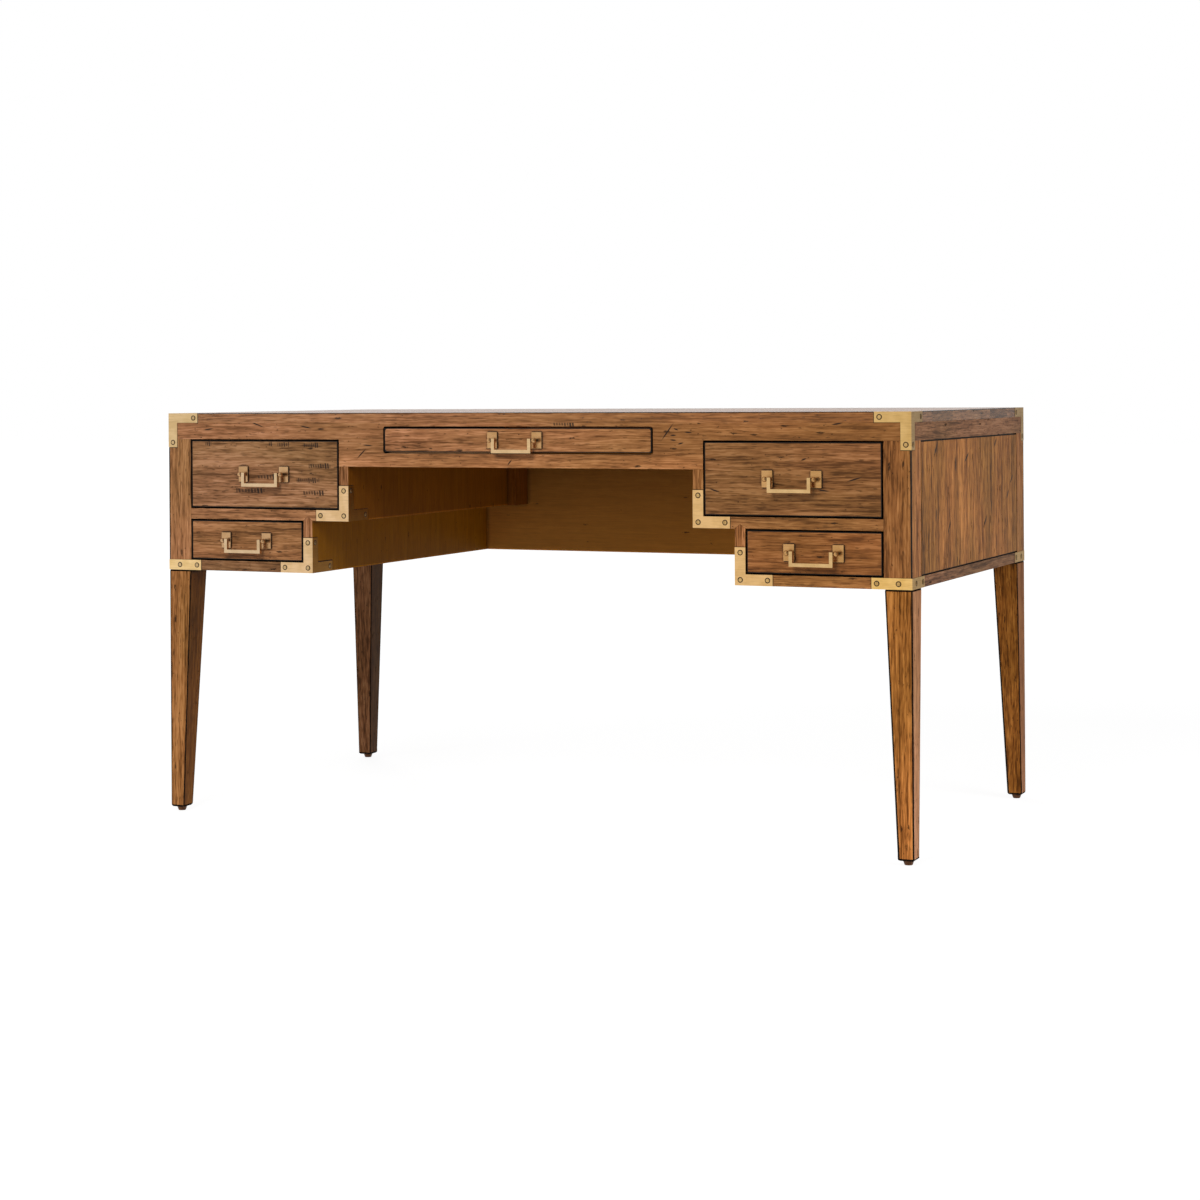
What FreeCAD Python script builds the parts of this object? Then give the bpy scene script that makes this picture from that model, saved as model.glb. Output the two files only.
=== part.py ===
import FreeCAD, Part
import os
from collections import namedtuple
from FreeCAD import Vector

# Campaign desk: stepped pedestals on tapered legs, five drawers with bail pulls, brass corners.
# Millimetres. X runs to the right, the front faces -Y, Z is up from the floor.

# Overall carcass
desk_width = 1524.0
desk_depth = 780.0
desk_height = 787.0

# Heights, from the desktop down to the legs
top_thickness = 19.0
rail_height = 32.0
upper_opening_height = 136.0
shelf_thickness = 21.0
lower_opening_height = 81.0
base_thickness = 20.0

# Frame members
apron_thickness = 20.0
post_width = 51.0
post_depth = 56.0
side_thickness = 18.0
quirk_width = 2.8
quirk_depth = 4.0
back_thickness = 18.0
back_recess = 12.0

# Knee space and its stepped panels
upper_knee_width = 710.0
step_width = 80.0
knee_thickness = 20.0
point_height = 8.0
point_depth = 20.0
block_width = 20.0
block_depth = 60.0

# Centre drawer opening in the apron
centre_opening_width = 556.0
centre_opening_height = 51.0
centre_opening_radius = 5.0
rail_above_centre = 7.0
rail_below_centre = 26.0
bearer_thickness = 20.0
bearer_height = 70.0

# Legs, their bolts and glides
leg_width = 50.0
leg_depth = 56.5
neck_height = 1.5
neck_inset = 1.5
foot_width = 29.5
foot_depth = 32.5
foot_chamfer = 2.5
glide_height = 8.0
glide_top_radius = 10.0
glide_bottom_radius = 7.0
bolt_radius = 4.0
bolt_length_in_leg = 60.0
bolt_length_in_post = 40.0
bolt_clearance = 0.05

# Drawer boxes
drawer_gap = 3.0
drawer_front_thickness = 20.0
drawer_side_thickness = 12.0
drawer_back_thickness = 12.0
drawer_bottom_thickness = 6.0
side_lift = 3.0
side_drop = 8.0
bottom_lift = 5.0
bottom_groove_depth = 5.0
glue_clearance = 0.1
pedestal_back_space = 130.0
centre_back_space = 230.0

# Dovetails
tail_pitch = 30.0
tail_width = 14.0
tail_length = 13.0
tail_slope_share = 1 / 6

# Drawer runners
runner_height = 11.0
runner_groove_depth = 5.0
runner_side_clearance = 0.5
runner_clearance = 0.25
runner_stop_clearance = 0.5
runner_end_gap = 28.0

# Pulls
pull_spacing = 91.5
plate_width = 21.0
plate_height = 30.5
plate_thickness = 3.0
plate_chamfer = 0.6
pivot_standoff = 12.0
stem_radius = 3.0
ball_radius = 4.7
pin_radius = 1.6
pin_clearance = 0.05
bail_bar = 6.5
bail_inset = 8.5
bail_rise = 3.25
bail_height = 27.0
pull_bolt_radius = 2.0
pull_bolt_grip = 8.0
pull_bolt_head_radius = 4.5
pull_bolt_head_height = 2.5

# Brass brackets, straps and their screws
brass_thickness = 1.5
brass_proud = 0.4
pocket_gap = 0.3
bracket_arm = 67.0
bracket_post_width = 19.5
step_front_arm = 71.0
step_side_arm = 75.0
step_rise = 68.0
strap_arm = 73.5
screw_head_radius = 3.5
screw_head_height = 0.8
screw_radius = 1.7
screw_clearance = 0.05
screw_edge = 9.5
strap_screw_share = 1 / 3

# One overrun serves every cut that leaves its piece
overrun = 5.0

# Heights worked out from the stack above
top_z = desk_height - top_thickness
rail_z = top_z - rail_height
shelf_top_z = rail_z - upper_opening_height
shelf_z = shelf_top_z - shelf_thickness
base_top_z = shelf_z - lower_opening_height
base_z = base_top_z - base_thickness
centre_top_z = top_z - rail_above_centre
centre_floor_z = centre_top_z - centre_opening_height
apron_z = centre_floor_z - rail_below_centre

# Brass is let into the wood, and a corner bracket's arm and its pocket cover the desktop's edge
brass_let_in = brass_thickness - brass_proud
bracket_top_width = top_thickness - pocket_gap

# Screws on the two faces of a corner end before they would meet
screw_length = bracket_post_width / 2 - screw_radius

# Distances from the centre plane
half_width = desk_width / 2
post_x = half_width - post_width
side_x = half_width - side_thickness
upper_knee_x = upper_knee_width / 2
upper_opening_x = upper_knee_x + knee_thickness
lower_knee_x = upper_knee_x + step_width
lower_opening_x = lower_knee_x + knee_thickness
centre_x = centre_opening_width / 2

# Depths: the whole part, with its pulls and brass, is centred on Y
pull_reach = plate_thickness + pivot_standoff + ball_radius
brass_reach = brass_proud + screw_head_height
front_y = (pull_reach - brass_reach - desk_depth) / 2
back_y = front_y + desk_depth
apron_back_y = front_y + apron_thickness
post_back_y = front_y + post_depth
rear_post_y = back_y - post_depth
panel_back_y = back_y - back_recess
panel_y = panel_back_y - back_thickness
pivot_y = front_y - plate_thickness - pivot_standoff

# Drawers end a set space before the back panel, and their runners before that
pedestal_drawer_length = panel_y - front_y - pedestal_back_space
centre_drawer_length = panel_y - front_y - centre_back_space
pedestal_runner_length = pedestal_drawer_length - post_depth - runner_end_gap
centre_runner_length = centre_drawer_length - apron_thickness - runner_end_gap

Drawer = namedtuple("Drawer", "name middle_x floor_z width height length radius runner_y runner_length")

x_axis = Vector(1, 0, 0)
y_axis = Vector(0, 1, 0)
z_axis = Vector(0, 0, 1)


def block(x_span, y_span, z_span):
    """A box between two limits along each axis."""
    corner = Vector(x_span[0], y_span[0], z_span[0])
    size = Vector(x_span[1], y_span[1], z_span[1]) - corner
    return Part.makeBox(size.x, size.y, size.z, corner)


def prism(points, path):
    """A flat closed outline pushed along a path."""
    return Part.Face(Part.makePolygon(points + points[:1])).extrude(path)


def mirrored(shape):
    """The left-hand twin of a right-hand piece."""
    return shape.mirror(Vector(0, 0, 0), x_axis)


def turned_to_back(shape):
    """The same piece at the back of the desk, mirrored about its middle depth."""
    return shape.mirror(Vector(0, (front_y + back_y) / 2, 0), y_axis)


def four_corners(shape):
    """One front right-hand piece repeated at all four corners."""
    pair = [shape, mirrored(shape)]
    return pair + [turned_to_back(piece) for piece in pair]


def edges_along(shape, axis):
    """The straight edges that run along one axis."""
    return [edge for edge in shape.Edges if edge.tangentAt(edge.FirstParameter).cross(axis).Length == 0]


def desktop():
    board = block((-half_width, half_width), (front_y, back_y), (top_z, desk_height))
    return board.cut(four_corners(top_brass(pocket_gap)))


def mitred_rail(outer_half, outer_y, inner_y):
    """An apron rail along X whose ends are cut at 45 degrees to meet the side aprons."""
    inner_half = outer_half - abs(inner_y - outer_y)
    outline = [
        Vector(-outer_half, outer_y, rail_z),
        Vector(outer_half, outer_y, rail_z),
        Vector(inner_half, inner_y, rail_z),
        Vector(-inner_half, inner_y, rail_z),
    ]
    return prism(outline, z_axis * rail_height)


def front_apron():
    """Full-width rail that drops between the knee panels, with the routed centre drawer opening."""
    depth = (front_y, apron_back_y)
    rail = mitred_rail(half_width, front_y, apron_back_y)
    drop = block((-upper_opening_x, upper_opening_x), depth, (apron_z, rail_z))
    cut_depth = (front_y - overrun, apron_back_y + overrun)
    opening = block((-centre_x, centre_x), cut_depth, (centre_floor_z, centre_top_z))
    opening = opening.makeFillet(centre_opening_radius, edges_along(opening, y_axis))
    return rail.fuse(drop).removeSplitter().cut([opening] + four_corners(top_brass(pocket_gap)))


def back_apron():
    rail = mitred_rail(half_width, back_y, back_y - apron_thickness)
    return rail.cut(four_corners(top_brass(pocket_gap)))


def side_apron():
    inner_x = half_width - apron_thickness
    outline = [
        Vector(half_width, front_y, rail_z),
        Vector(half_width, back_y, rail_z),
        Vector(inner_x, back_y - apron_thickness, rail_z),
        Vector(inner_x, apron_back_y, rail_z),
    ]
    return prism(outline, z_axis * rail_height).cut(four_corners(top_brass(pocket_gap)))


def corner_post():
    post = block((post_x, half_width), (front_y, post_back_y), (base_top_z, rail_z))
    return post.cut([leg_bolt(bolt_clearance), top_brass(pocket_gap)])


def side_panel():
    """Flush panel between the posts, with a quirk sunk round its outer face."""
    panel = block((side_x, half_width), (post_back_y, rear_post_y), (base_top_z, rail_z))
    groove_x = half_width - quirk_depth
    field = block(
        (groove_x - overrun, half_width + overrun),
        (post_back_y + quirk_width, rear_post_y - quirk_width),
        (base_top_z + quirk_width, rail_z - quirk_width),
    )
    rim = block((groove_x, half_width), (post_back_y, rear_post_y), (base_top_z, rail_z)).cut(field)
    return panel.cut(rim)


def back_panel():
    """Panel between the rear posts that drops to the base's underside across the knee space."""
    outline = [
        Vector(-post_x, panel_y, base_top_z),
        Vector(-lower_opening_x, panel_y, base_top_z),
        Vector(-lower_opening_x, panel_y, base_z),
        Vector(lower_opening_x, panel_y, base_z),
        Vector(lower_opening_x, panel_y, base_top_z),
        Vector(post_x, panel_y, base_top_z),
        Vector(post_x, panel_y, rail_z),
        Vector(-post_x, panel_y, rail_z),
    ]
    return prism(outline, y_axis * back_thickness)


def base_board():
    board = block((lower_opening_x, half_width), (front_y, back_y), (base_z, base_top_z))
    corner_cuts = [leg_bolt(bolt_clearance), strap_brass(pocket_gap)]
    corner_cuts += [turned_to_back(cut) for cut in corner_cuts]
    return board.cut(corner_cuts + [lower_step_brass(pocket_gap)])


def upper_knee_panel():
    """Upright panel beside the knees, notched behind the apron at its top front corner."""
    outline = [
        Vector(upper_knee_x, front_y, shelf_z),
        Vector(upper_knee_x, panel_y, shelf_z),
        Vector(upper_knee_x, panel_y, top_z),
        Vector(upper_knee_x, apron_back_y, top_z),
        Vector(upper_knee_x, apron_back_y, apron_z),
        Vector(upper_knee_x, front_y, apron_z),
    ]
    return prism(outline, x_axis * knee_thickness).cut(upper_step_brass(pocket_gap))


def panel_point(clearance):
    """Pointed tip on the front edge of the lower knee panel, let into the step shelf."""
    low_z = shelf_z - overrun
    outline = [
        Vector(lower_knee_x - clearance, front_y, low_z),
        Vector(lower_opening_x + clearance, front_y, low_z),
        Vector(lower_opening_x + clearance, front_y, shelf_z),
        Vector((lower_knee_x + lower_opening_x) / 2, front_y, shelf_z + point_height + clearance),
        Vector(lower_knee_x - clearance, front_y, shelf_z),
    ]
    return prism(outline, y_axis * (point_depth + clearance))


def lower_knee_panel():
    panel = block((lower_knee_x, lower_opening_x), (front_y, panel_y), (base_z, shelf_z))
    return panel.fuse(panel_point(0)).removeSplitter().cut(lower_step_brass(pocket_gap))


def step_shelf():
    shelf = block((upper_opening_x, post_x), (front_y, panel_y), (shelf_z, shelf_top_z))
    return shelf.cut([panel_point(glue_clearance), upper_step_brass(pocket_gap)])


def rear_corner_block():
    return block((upper_knee_x - block_width, upper_knee_x), (panel_y - block_depth, panel_y), (shelf_z, top_z))


def centre_bearer():
    """Board under the desktop that carries one runner of the centre drawer."""
    length = (apron_back_y, front_y + centre_drawer_length)
    return block((centre_x, centre_x + bearer_thickness), length, (top_z - bearer_height, top_z))


def leg_bolt(clearance):
    """Bolt up through the base board, from inside the leg to inside the post."""
    bottom = Vector(half_width - post_width / 2, front_y + post_depth / 2, base_z - bolt_length_in_leg)
    length = bolt_length_in_leg + base_thickness + bolt_length_in_post
    return Part.makeCylinder(bolt_radius + clearance, length, bottom, z_axis)


def leg():
    """Leg with straight outer faces, tapered on both inner faces, necked in at the base board."""
    shoulder_z = base_z - neck_height
    wedge = Part.makeWedge(
        -foot_width, glide_height, 0, 0, -leg_width,
        0, shoulder_z, foot_depth, leg_depth, 0,
    )
    wedge.rotate(Vector(0, 0, 0), x_axis, 90)
    upright = wedge.mirror(Vector(0, 0, 0), y_axis)
    upright.translate(Vector(half_width, front_y, 0))
    foot = [edge for edge in upright.Edges if edge.BoundBox.ZMax <= glide_height + foot_chamfer]
    neck = block(
        (half_width - leg_width + neck_inset, half_width - neck_inset),
        (front_y + neck_inset, front_y + leg_depth - neck_inset),
        (shoulder_z, base_z),
    )
    return upright.makeChamfer(foot_chamfer, foot).fuse(neck).cut(leg_bolt(bolt_clearance))


def foot_glide():
    """Turned glide under the middle of the foot."""
    middle = Vector(half_width - foot_width / 2, front_y + foot_depth / 2, 0)
    return Part.makeCone(glide_bottom_radius, glide_top_radius, glide_height, middle, z_axis)


def tail_middles(low, high):
    """Heights of the dovetails, spaced evenly up a drawer side."""
    count = max(1, int((high - low) / tail_pitch))
    spacing = (high - low) / count
    return [low + spacing * (index + 1 / 2) for index in range(count)]


def tail_outline(middle, root_y, tip_y, clearance):
    """Depth and height of one dovetail's corners, narrow at its root and wide at its tip."""
    towards = 1 if tip_y > root_y else -1
    half_root = tail_width / 2 + clearance
    half_tip = half_root + abs(tip_y - root_y) * tail_slope_share
    end_y = tip_y + towards * clearance
    return [
        (root_y, middle - half_root),
        (end_y, middle - half_tip),
        (end_y, middle + half_tip),
        (root_y, middle + half_root),
    ]


def side_span(drawer):
    """Lowest and highest edge of a drawer's sides, from the floor of its opening."""
    return (drawer_gap + side_lift, drawer.height - drawer_gap - side_drop)


def box_half(drawer):
    """Half the outer width of a drawer box, which is also its front's."""
    return drawer.width / 2 - drawer_gap


def runner_middle(drawer):
    """Height of the middle of a drawer's runners, half way up its sides."""
    low, high = side_span(drawer)
    return (low + high) / 2


def bottom_span(drawer):
    """Lower and upper face of a drawer's bottom."""
    low = side_span(drawer)[0] + bottom_lift
    return (low, low + drawer_bottom_thickness)


def runner_groove(drawer):
    """Cutter for the groove along the right of a drawer box, open at the back."""
    half_groove = runner_height / 2 + runner_clearance
    return block(
        (box_half(drawer) - runner_groove_depth, box_half(drawer) + overrun),
        (drawer.runner_y - runner_stop_clearance, front_y + drawer.length + overrun),
        (runner_middle(drawer) - half_groove, runner_middle(drawer) + half_groove),
    )


def drawer_side(drawer):
    """Right-hand side: dovetailed at both ends, grooved for the bottom and for its runner."""
    low, high = side_span(drawer)
    inner_x = box_half(drawer) - drawer_side_thickness
    end_y = front_y + drawer.length
    front_root = front_y + drawer_front_thickness
    back_root = end_y - drawer_back_thickness
    middles = tail_middles(low, high)
    outline = [(front_root, low), (back_root, low)]
    for middle in middles:
        outline += tail_outline(middle, back_root, end_y, 0)
    outline += [(back_root, high), (front_root, high)]
    for middle in reversed(middles):
        outline += reversed(tail_outline(middle, front_root, front_root - tail_length, 0))
    board = prism([Vector(inner_x, y, z) for y, z in outline], x_axis * drawer_side_thickness)
    bottom_low, bottom_high = bottom_span(drawer)
    bottom_groove = block(
        (inner_x - overrun, inner_x + bottom_groove_depth),
        (front_root, end_y + overrun),
        (bottom_low - glue_clearance, bottom_high + glue_clearance),
    )
    return board.cut(bottom_groove).cut(runner_groove(drawer))


def tail_sockets(drawer, root_y, tip_y):
    """Cutters for the sockets that take both sides' dovetails."""
    low, high = side_span(drawer)
    inner_x = box_half(drawer) - drawer_side_thickness - glue_clearance
    reach = x_axis * (drawer_side_thickness + glue_clearance + overrun)
    cutters = []
    for middle in tail_middles(low, high):
        outline = tail_outline(middle, root_y, tip_y, glue_clearance)
        right = prism([Vector(inner_x, y, z) for y, z in outline], reach)
        cutters += [right, mirrored(right)]
    return cutters


def drawer_front(drawer):
    """Front board with half-blind sockets, a groove for the bottom and holes for the pull bolts."""
    half = box_half(drawer)
    back = front_y + drawer_front_thickness
    board = block((-half, half), (front_y, back), (drawer_gap, drawer.height - drawer_gap))
    if drawer.radius > drawer_gap:
        board = board.makeFillet(drawer.radius - drawer_gap, edges_along(board, y_axis))
    low, high = bottom_span(drawer)
    inner = half - drawer_side_thickness
    groove = block(
        (-inner, inner),
        (back - bottom_groove_depth, back + overrun),
        (low - glue_clearance, high + glue_clearance),
    )
    return board.cut(tail_sockets(drawer, back, back - tail_length) + [groove] + pull_bolts(drawer, bolt_clearance))


def drawer_back(drawer):
    """Back board on the bottom, with through sockets for the sides' dovetails and the runner grooves."""
    half = box_half(drawer)
    end_y = front_y + drawer.length
    root_y = end_y - drawer_back_thickness
    board = block((-half, half), (root_y, end_y), (bottom_span(drawer)[1], side_span(drawer)[1]))
    grooves = [runner_groove(drawer), mirrored(runner_groove(drawer))]
    return board.cut(tail_sockets(drawer, root_y, end_y + overrun) + grooves)


def drawer_bottom(drawer):
    """Thin panel held in the grooves of the sides and the front, running out under the back."""
    inner = box_half(drawer) - drawer_side_thickness
    half = inner + bottom_groove_depth - glue_clearance
    tongue = inner - glue_clearance
    root_y = front_y + drawer_front_thickness + glue_clearance
    tip_y = front_y + drawer_front_thickness - bottom_groove_depth + glue_clearance
    end_y = front_y + drawer.length
    low, high = bottom_span(drawer)
    outline = [
        Vector(-half, root_y, low),
        Vector(-tongue, root_y, low),
        Vector(-tongue, tip_y, low),
        Vector(tongue, tip_y, low),
        Vector(tongue, root_y, low),
        Vector(half, root_y, low),
        Vector(half, end_y, low),
        Vector(-half, end_y, low),
    ]
    return prism(outline, z_axis * (high - low))


def drawer_runners(drawer, right_guide, left_guide):
    """The two sticks that a drawer slides on, each from its guide face into the side's groove."""
    reach = box_half(drawer) - runner_groove_depth + runner_side_clearance
    middle_z = drawer.floor_z + runner_middle(drawer)
    depth = (drawer.runner_y, drawer.runner_y + drawer.runner_length)
    height = (middle_z - runner_height / 2, middle_z + runner_height / 2)
    right = block((drawer.middle_x + reach, right_guide), depth, height)
    left = block((left_guide, drawer.middle_x - reach), depth, height)
    return [right, left]


def pull_bolts(drawer, clearance):
    """Shanks of the two bolts that come through the drawer front into the pull's posts."""
    start_y = front_y - pull_bolt_grip - clearance
    length = drawer_front_thickness + pull_bolt_grip + clearance
    shanks = []
    for x in (-pull_spacing / 2, pull_spacing / 2):
        start = Vector(x, start_y, drawer.height / 2)
        shanks.append(Part.makeCylinder(pull_bolt_radius + clearance, length, start, y_axis))
    return shanks


def pull_mount(drawer, side):
    """One casting: bevelled plate, round stem, ball and the pin that the bail turns on."""
    middle = Vector(side * pull_spacing / 2, front_y, drawer.height / 2)
    plate = block(
        (middle.x - plate_width / 2, middle.x + plate_width / 2),
        (front_y - plate_thickness, front_y),
        (middle.z - plate_height / 2, middle.z + plate_height / 2),
    )
    rim = [edge for edge in plate.Edges if edge.BoundBox.YMax < front_y - plate_chamfer]
    plate = plate.makeChamfer(plate_chamfer, rim)
    stem = Part.makeCylinder(stem_radius, pivot_standoff + plate_thickness, middle, y_axis * -1)
    pivot = Vector(middle.x, pivot_y, middle.z)
    ball = Part.makeSphere(ball_radius, pivot)
    pin = Part.makeCylinder(pin_radius, bail_inset + bail_bar / 2, pivot, x_axis * -side)
    return plate.fuse([stem, ball, pin]).removeSplitter()


def pull_mounts(drawer):
    """Both castings and the bolts that hold them, heads inside the drawer."""
    holes = pull_bolts(drawer, bolt_clearance)
    castings = [pull_mount(drawer, side).cut(holes) for side in (-1, 1)]
    bolts = []
    for shank in pull_bolts(drawer, 0):
        seat = Vector(shank.CenterOfMass.x, front_y + drawer_front_thickness, shank.CenterOfMass.z)
        head = Part.makeCylinder(pull_bolt_head_radius, pull_bolt_head_height, seat, y_axis)
        bolts.append(shank.fuse(head).removeSplitter())
    return castings + bolts


def pull_bail(drawer):
    """Square bar bent into a wide U, bored at both ends for the pins."""
    outer = pull_spacing / 2 - bail_inset + bail_bar / 2
    inner = outer - bail_bar
    high = drawer.height / 2 + bail_rise
    low = high - bail_height
    back = pivot_y + bail_bar / 2
    outline = [
        Vector(-outer, back, high),
        Vector(-outer, back, low),
        Vector(outer, back, low),
        Vector(outer, back, high),
        Vector(inner, back, high),
        Vector(inner, back, low + bail_bar),
        Vector(-inner, back, low + bail_bar),
        Vector(-inner, back, high),
    ]
    bar = prism(outline, y_axis * -bail_bar)
    bore_start = Vector(-outer - overrun, pivot_y, drawer.height / 2)
    bore = Part.makeCylinder(pin_radius + pin_clearance, (outer + overrun) * 2, bore_start, x_axis)
    return bar.cut(bore)


def angle_plate(arm, rise, arm_width, rise_width, gap):
    """Corners of an L: an arm along one edge and a riser along the other, from a shared corner."""
    arm, rise, arm_width, rise_width = (size + gap for size in (arm, rise, arm_width, rise_width))
    return [(0, 0), (arm, 0), (arm, arm_width), (rise_width, arm_width), (rise_width, rise), (0, rise)]


def folded_bracket(front_plate, side_plate, corner, along_x, along_y, along_z):
    """Two plates folded round a vertical edge of the desk, let into both faces."""
    front_points = []
    for across, up in front_plate:
        lap = 0 if across > 0 else brass_proud
        front_points.append(corner + Vector(along_x * (across - lap), along_y * brass_let_in, along_z * up))
    side_points = []
    for across, up in side_plate:
        side_points.append(corner + Vector(along_x * brass_let_in, along_y * across, along_z * up))
    front = prism(front_points, y_axis * (-along_y * brass_thickness))
    side = prism(side_points, x_axis * (-along_x * brass_thickness))
    return front.fuse(side).removeSplitter()


def top_brass(gap):
    """Bracket round the front right top corner; with a gap, the pocket that takes it."""
    corner = Vector(half_width, front_y, desk_height)
    plate = angle_plate(bracket_arm, bracket_arm, bracket_top_width, bracket_post_width, gap)
    return folded_bracket(plate, plate, corner, -1, 1, -1)


def strap_brass(gap):
    """Strap round the front right corner of the base board; with a gap, the pocket that takes it."""
    corner = Vector(half_width, front_y, base_z)
    end = strap_arm + gap
    plate = [(0, 0), (end, 0), (end, base_thickness), (0, base_thickness)]
    return folded_bracket(plate, plate, corner, -1, 1, 1)


def step_brass(inner_x, low_z, arm_width, gap):
    """Bracket round the lower corner of a right-hand knee panel; with a gap, the pocket that takes it."""
    corner = Vector(inner_x, front_y, low_z)
    front_plate = angle_plate(step_front_arm, step_rise, arm_width, knee_thickness, gap)
    side_plate = angle_plate(step_side_arm, step_rise, arm_width, knee_thickness, gap)
    return folded_bracket(front_plate, side_plate, corner, 1, 1, 1)


def upper_step_brass(gap):
    return step_brass(upper_knee_x, shelf_z, shelf_thickness, gap)


def lower_step_brass(gap):
    return step_brass(lower_knee_x, base_z, base_thickness, gap)


def bracket_screw(point, outwards, clearance):
    """One screw, given where its head sits on the brass and which way it faces."""
    shank = Part.makeCylinder(screw_radius + clearance, screw_length, point, outwards * -1)
    head = Part.makeCylinder(screw_head_radius, screw_head_height, point, outwards)
    return shank.fuse(head).removeSplitter()


def screw_points(corner, along_x, along_y, along_z, front_places, side_places):
    """Where screw heads sit on a folded bracket, and the way they face."""
    places = []
    for across, up in front_places:
        offset = Vector(along_x * across, -along_y * brass_proud, along_z * up)
        places.append((corner + offset, y_axis * -along_y))
    for across, up in side_places:
        offset = Vector(-along_x * brass_proud, along_y * across, along_z * up)
        places.append((corner + offset, x_axis * -along_x))
    return places


def top_screws():
    corner = Vector(half_width, front_y, desk_height)
    end = bracket_arm - screw_edge
    places = [(end, bracket_top_width / 2), (bracket_post_width / 2, end)]
    return screw_points(corner, -1, 1, -1, places, places)


def strap_screws():
    corner = Vector(half_width, front_y, base_z)
    middle = base_thickness / 2
    places = [(strap_arm - screw_edge, middle), (strap_arm * strap_screw_share, middle)]
    return screw_points(corner, -1, 1, 1, places, places)


def step_screws(inner_x, low_z, arm_width):
    corner = Vector(inner_x, front_y, low_z)
    inset = knee_thickness / 2
    riser = (inset, step_rise - screw_edge)
    front_places = [(inset, arm_width / 2), (step_front_arm - screw_edge, arm_width / 2), riser]
    side_places = [(step_side_arm - screw_edge, arm_width / 2), riser]
    return screw_points(corner, 1, 1, 1, front_places, side_places)


def bored(bracket, screws):
    """A bracket with its screw holes."""
    holes = [bracket_screw(point, outwards, screw_clearance) for point, outwards in screws]
    return bracket.cut(holes)


def drawers():
    """The five drawers, each placed by the middle of its opening."""
    upper_middle = (upper_opening_x + post_x) / 2
    lower_middle = (lower_opening_x + post_x) / 2
    upper_width = post_x - upper_opening_x
    lower_width = post_x - lower_opening_x
    pedestal = (pedestal_drawer_length, 0, post_back_y, pedestal_runner_length)
    centre = (centre_drawer_length, centre_opening_radius, apron_back_y, centre_runner_length)
    found = []
    for name, side in (("left", -1), ("right", 1)):
        upper = (side * upper_middle, shelf_top_z, upper_width, upper_opening_height)
        lower = (side * lower_middle, base_top_z, lower_width, lower_opening_height)
        found.append(Drawer(name + "_upper", *upper, *pedestal))
        found.append(Drawer(name + "_lower", *lower, *pedestal))
    found.append(Drawer("centre", 0, centre_floor_z, centre_opening_width, centre_opening_height, *centre))
    return found


def all_runners():
    """Runners for every drawer: on the side panel and knee panel, or on the centre bearers."""
    _, _, right_upper, right_lower, centre = drawers()
    right = drawer_runners(right_upper, side_x, upper_opening_x)
    right += drawer_runners(right_lower, side_x, lower_opening_x)
    return right + [mirrored(runner) for runner in right] + drawer_runners(centre, centre_x, -centre_x)


def placed(drawer, shapes):
    """Drawer pieces moved from the middle of the desk to their own opening."""
    return [shape.translated(Vector(drawer.middle_x, 0, drawer.floor_z)) for shape in shapes]


def drawer_nodes(drawer):
    side = drawer_side(drawer)
    pieces = {
        "drawer_front": [drawer_front(drawer)],
        "drawer_sides": [side, mirrored(side)],
        "drawer_back": [drawer_back(drawer)],
        "drawer_bottom": [drawer_bottom(drawer)],
        "pull_mounts": pull_mounts(drawer),
        "pull_bail": [pull_bail(drawer)],
    }
    return {drawer.name + "_" + name: placed(drawer, shapes) for name, shapes in pieces.items()}


def paired_nodes(name, shape):
    return {"right_" + name: [shape], "left_" + name: [mirrored(shape)]}


def carcass_nodes():
    nodes = {
        "desktop": [desktop()],
        "front_apron": [front_apron()],
        "back_apron": [back_apron()],
        "back_panel": [back_panel()],
        "corner_posts": four_corners(corner_post()),
        "leg_bolts": four_corners(leg_bolt(0)),
        "foot_glides": four_corners(foot_glide()),
        "drawer_runners": all_runners(),
        "centre_bearers": [centre_bearer(), mirrored(centre_bearer())],
        "rear_corner_blocks": [rear_corner_block(), mirrored(rear_corner_block())],
    }
    nodes.update(paired_nodes("apron", side_apron()))
    nodes.update(paired_nodes("side_panel", side_panel()))
    nodes.update(paired_nodes("base", base_board()))
    nodes.update(paired_nodes("upper_knee_panel", upper_knee_panel()))
    nodes.update(paired_nodes("lower_knee_panel", lower_knee_panel()))
    nodes.update(paired_nodes("step_shelf", step_shelf()))
    nodes.update(paired_nodes("front_leg", leg()))
    nodes.update(paired_nodes("back_leg", turned_to_back(leg())))
    return nodes


def brass_nodes():
    """Brackets, straps and every screw in them."""
    corner_screws = top_screws() + strap_screws()
    upper_screws = step_screws(upper_knee_x, shelf_z, shelf_thickness)
    lower_screws = step_screws(lower_knee_x, base_z, base_thickness)
    steps = [bored(upper_step_brass(0), upper_screws), bored(lower_step_brass(0), lower_screws)]
    screws = []
    for point, outwards in corner_screws:
        screws += four_corners(bracket_screw(point, outwards, 0))
    for point, outwards in upper_screws + lower_screws:
        screw = bracket_screw(point, outwards, 0)
        screws += [screw, mirrored(screw)]
    return {
        "top_corner_brackets": four_corners(bored(top_brass(0), top_screws())),
        "base_straps": four_corners(bored(strap_brass(0), strap_screws())),
        "step_brackets": steps + [mirrored(step) for step in steps],
        "bracket_screws": screws,
    }


def write_parts(nodes):
    os.makedirs("parts", exist_ok=True)
    for name, solids in nodes.items():
        shape = solids[0] if len(solids) == 1 else Part.makeCompound(solids)
        shape.exportStep("parts/" + name + ".step")


nodes = carcass_nodes()
nodes.update(brass_nodes())
for each_drawer in drawers():
    nodes.update(drawer_nodes(each_drawer))
write_parts(nodes)
print(len(nodes), "nodes,", sum(len(solids) for solids in nodes.values()), "solids")
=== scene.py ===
import math
import random

import bmesh
import bpy
from mathutils import Matrix, Vector


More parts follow.
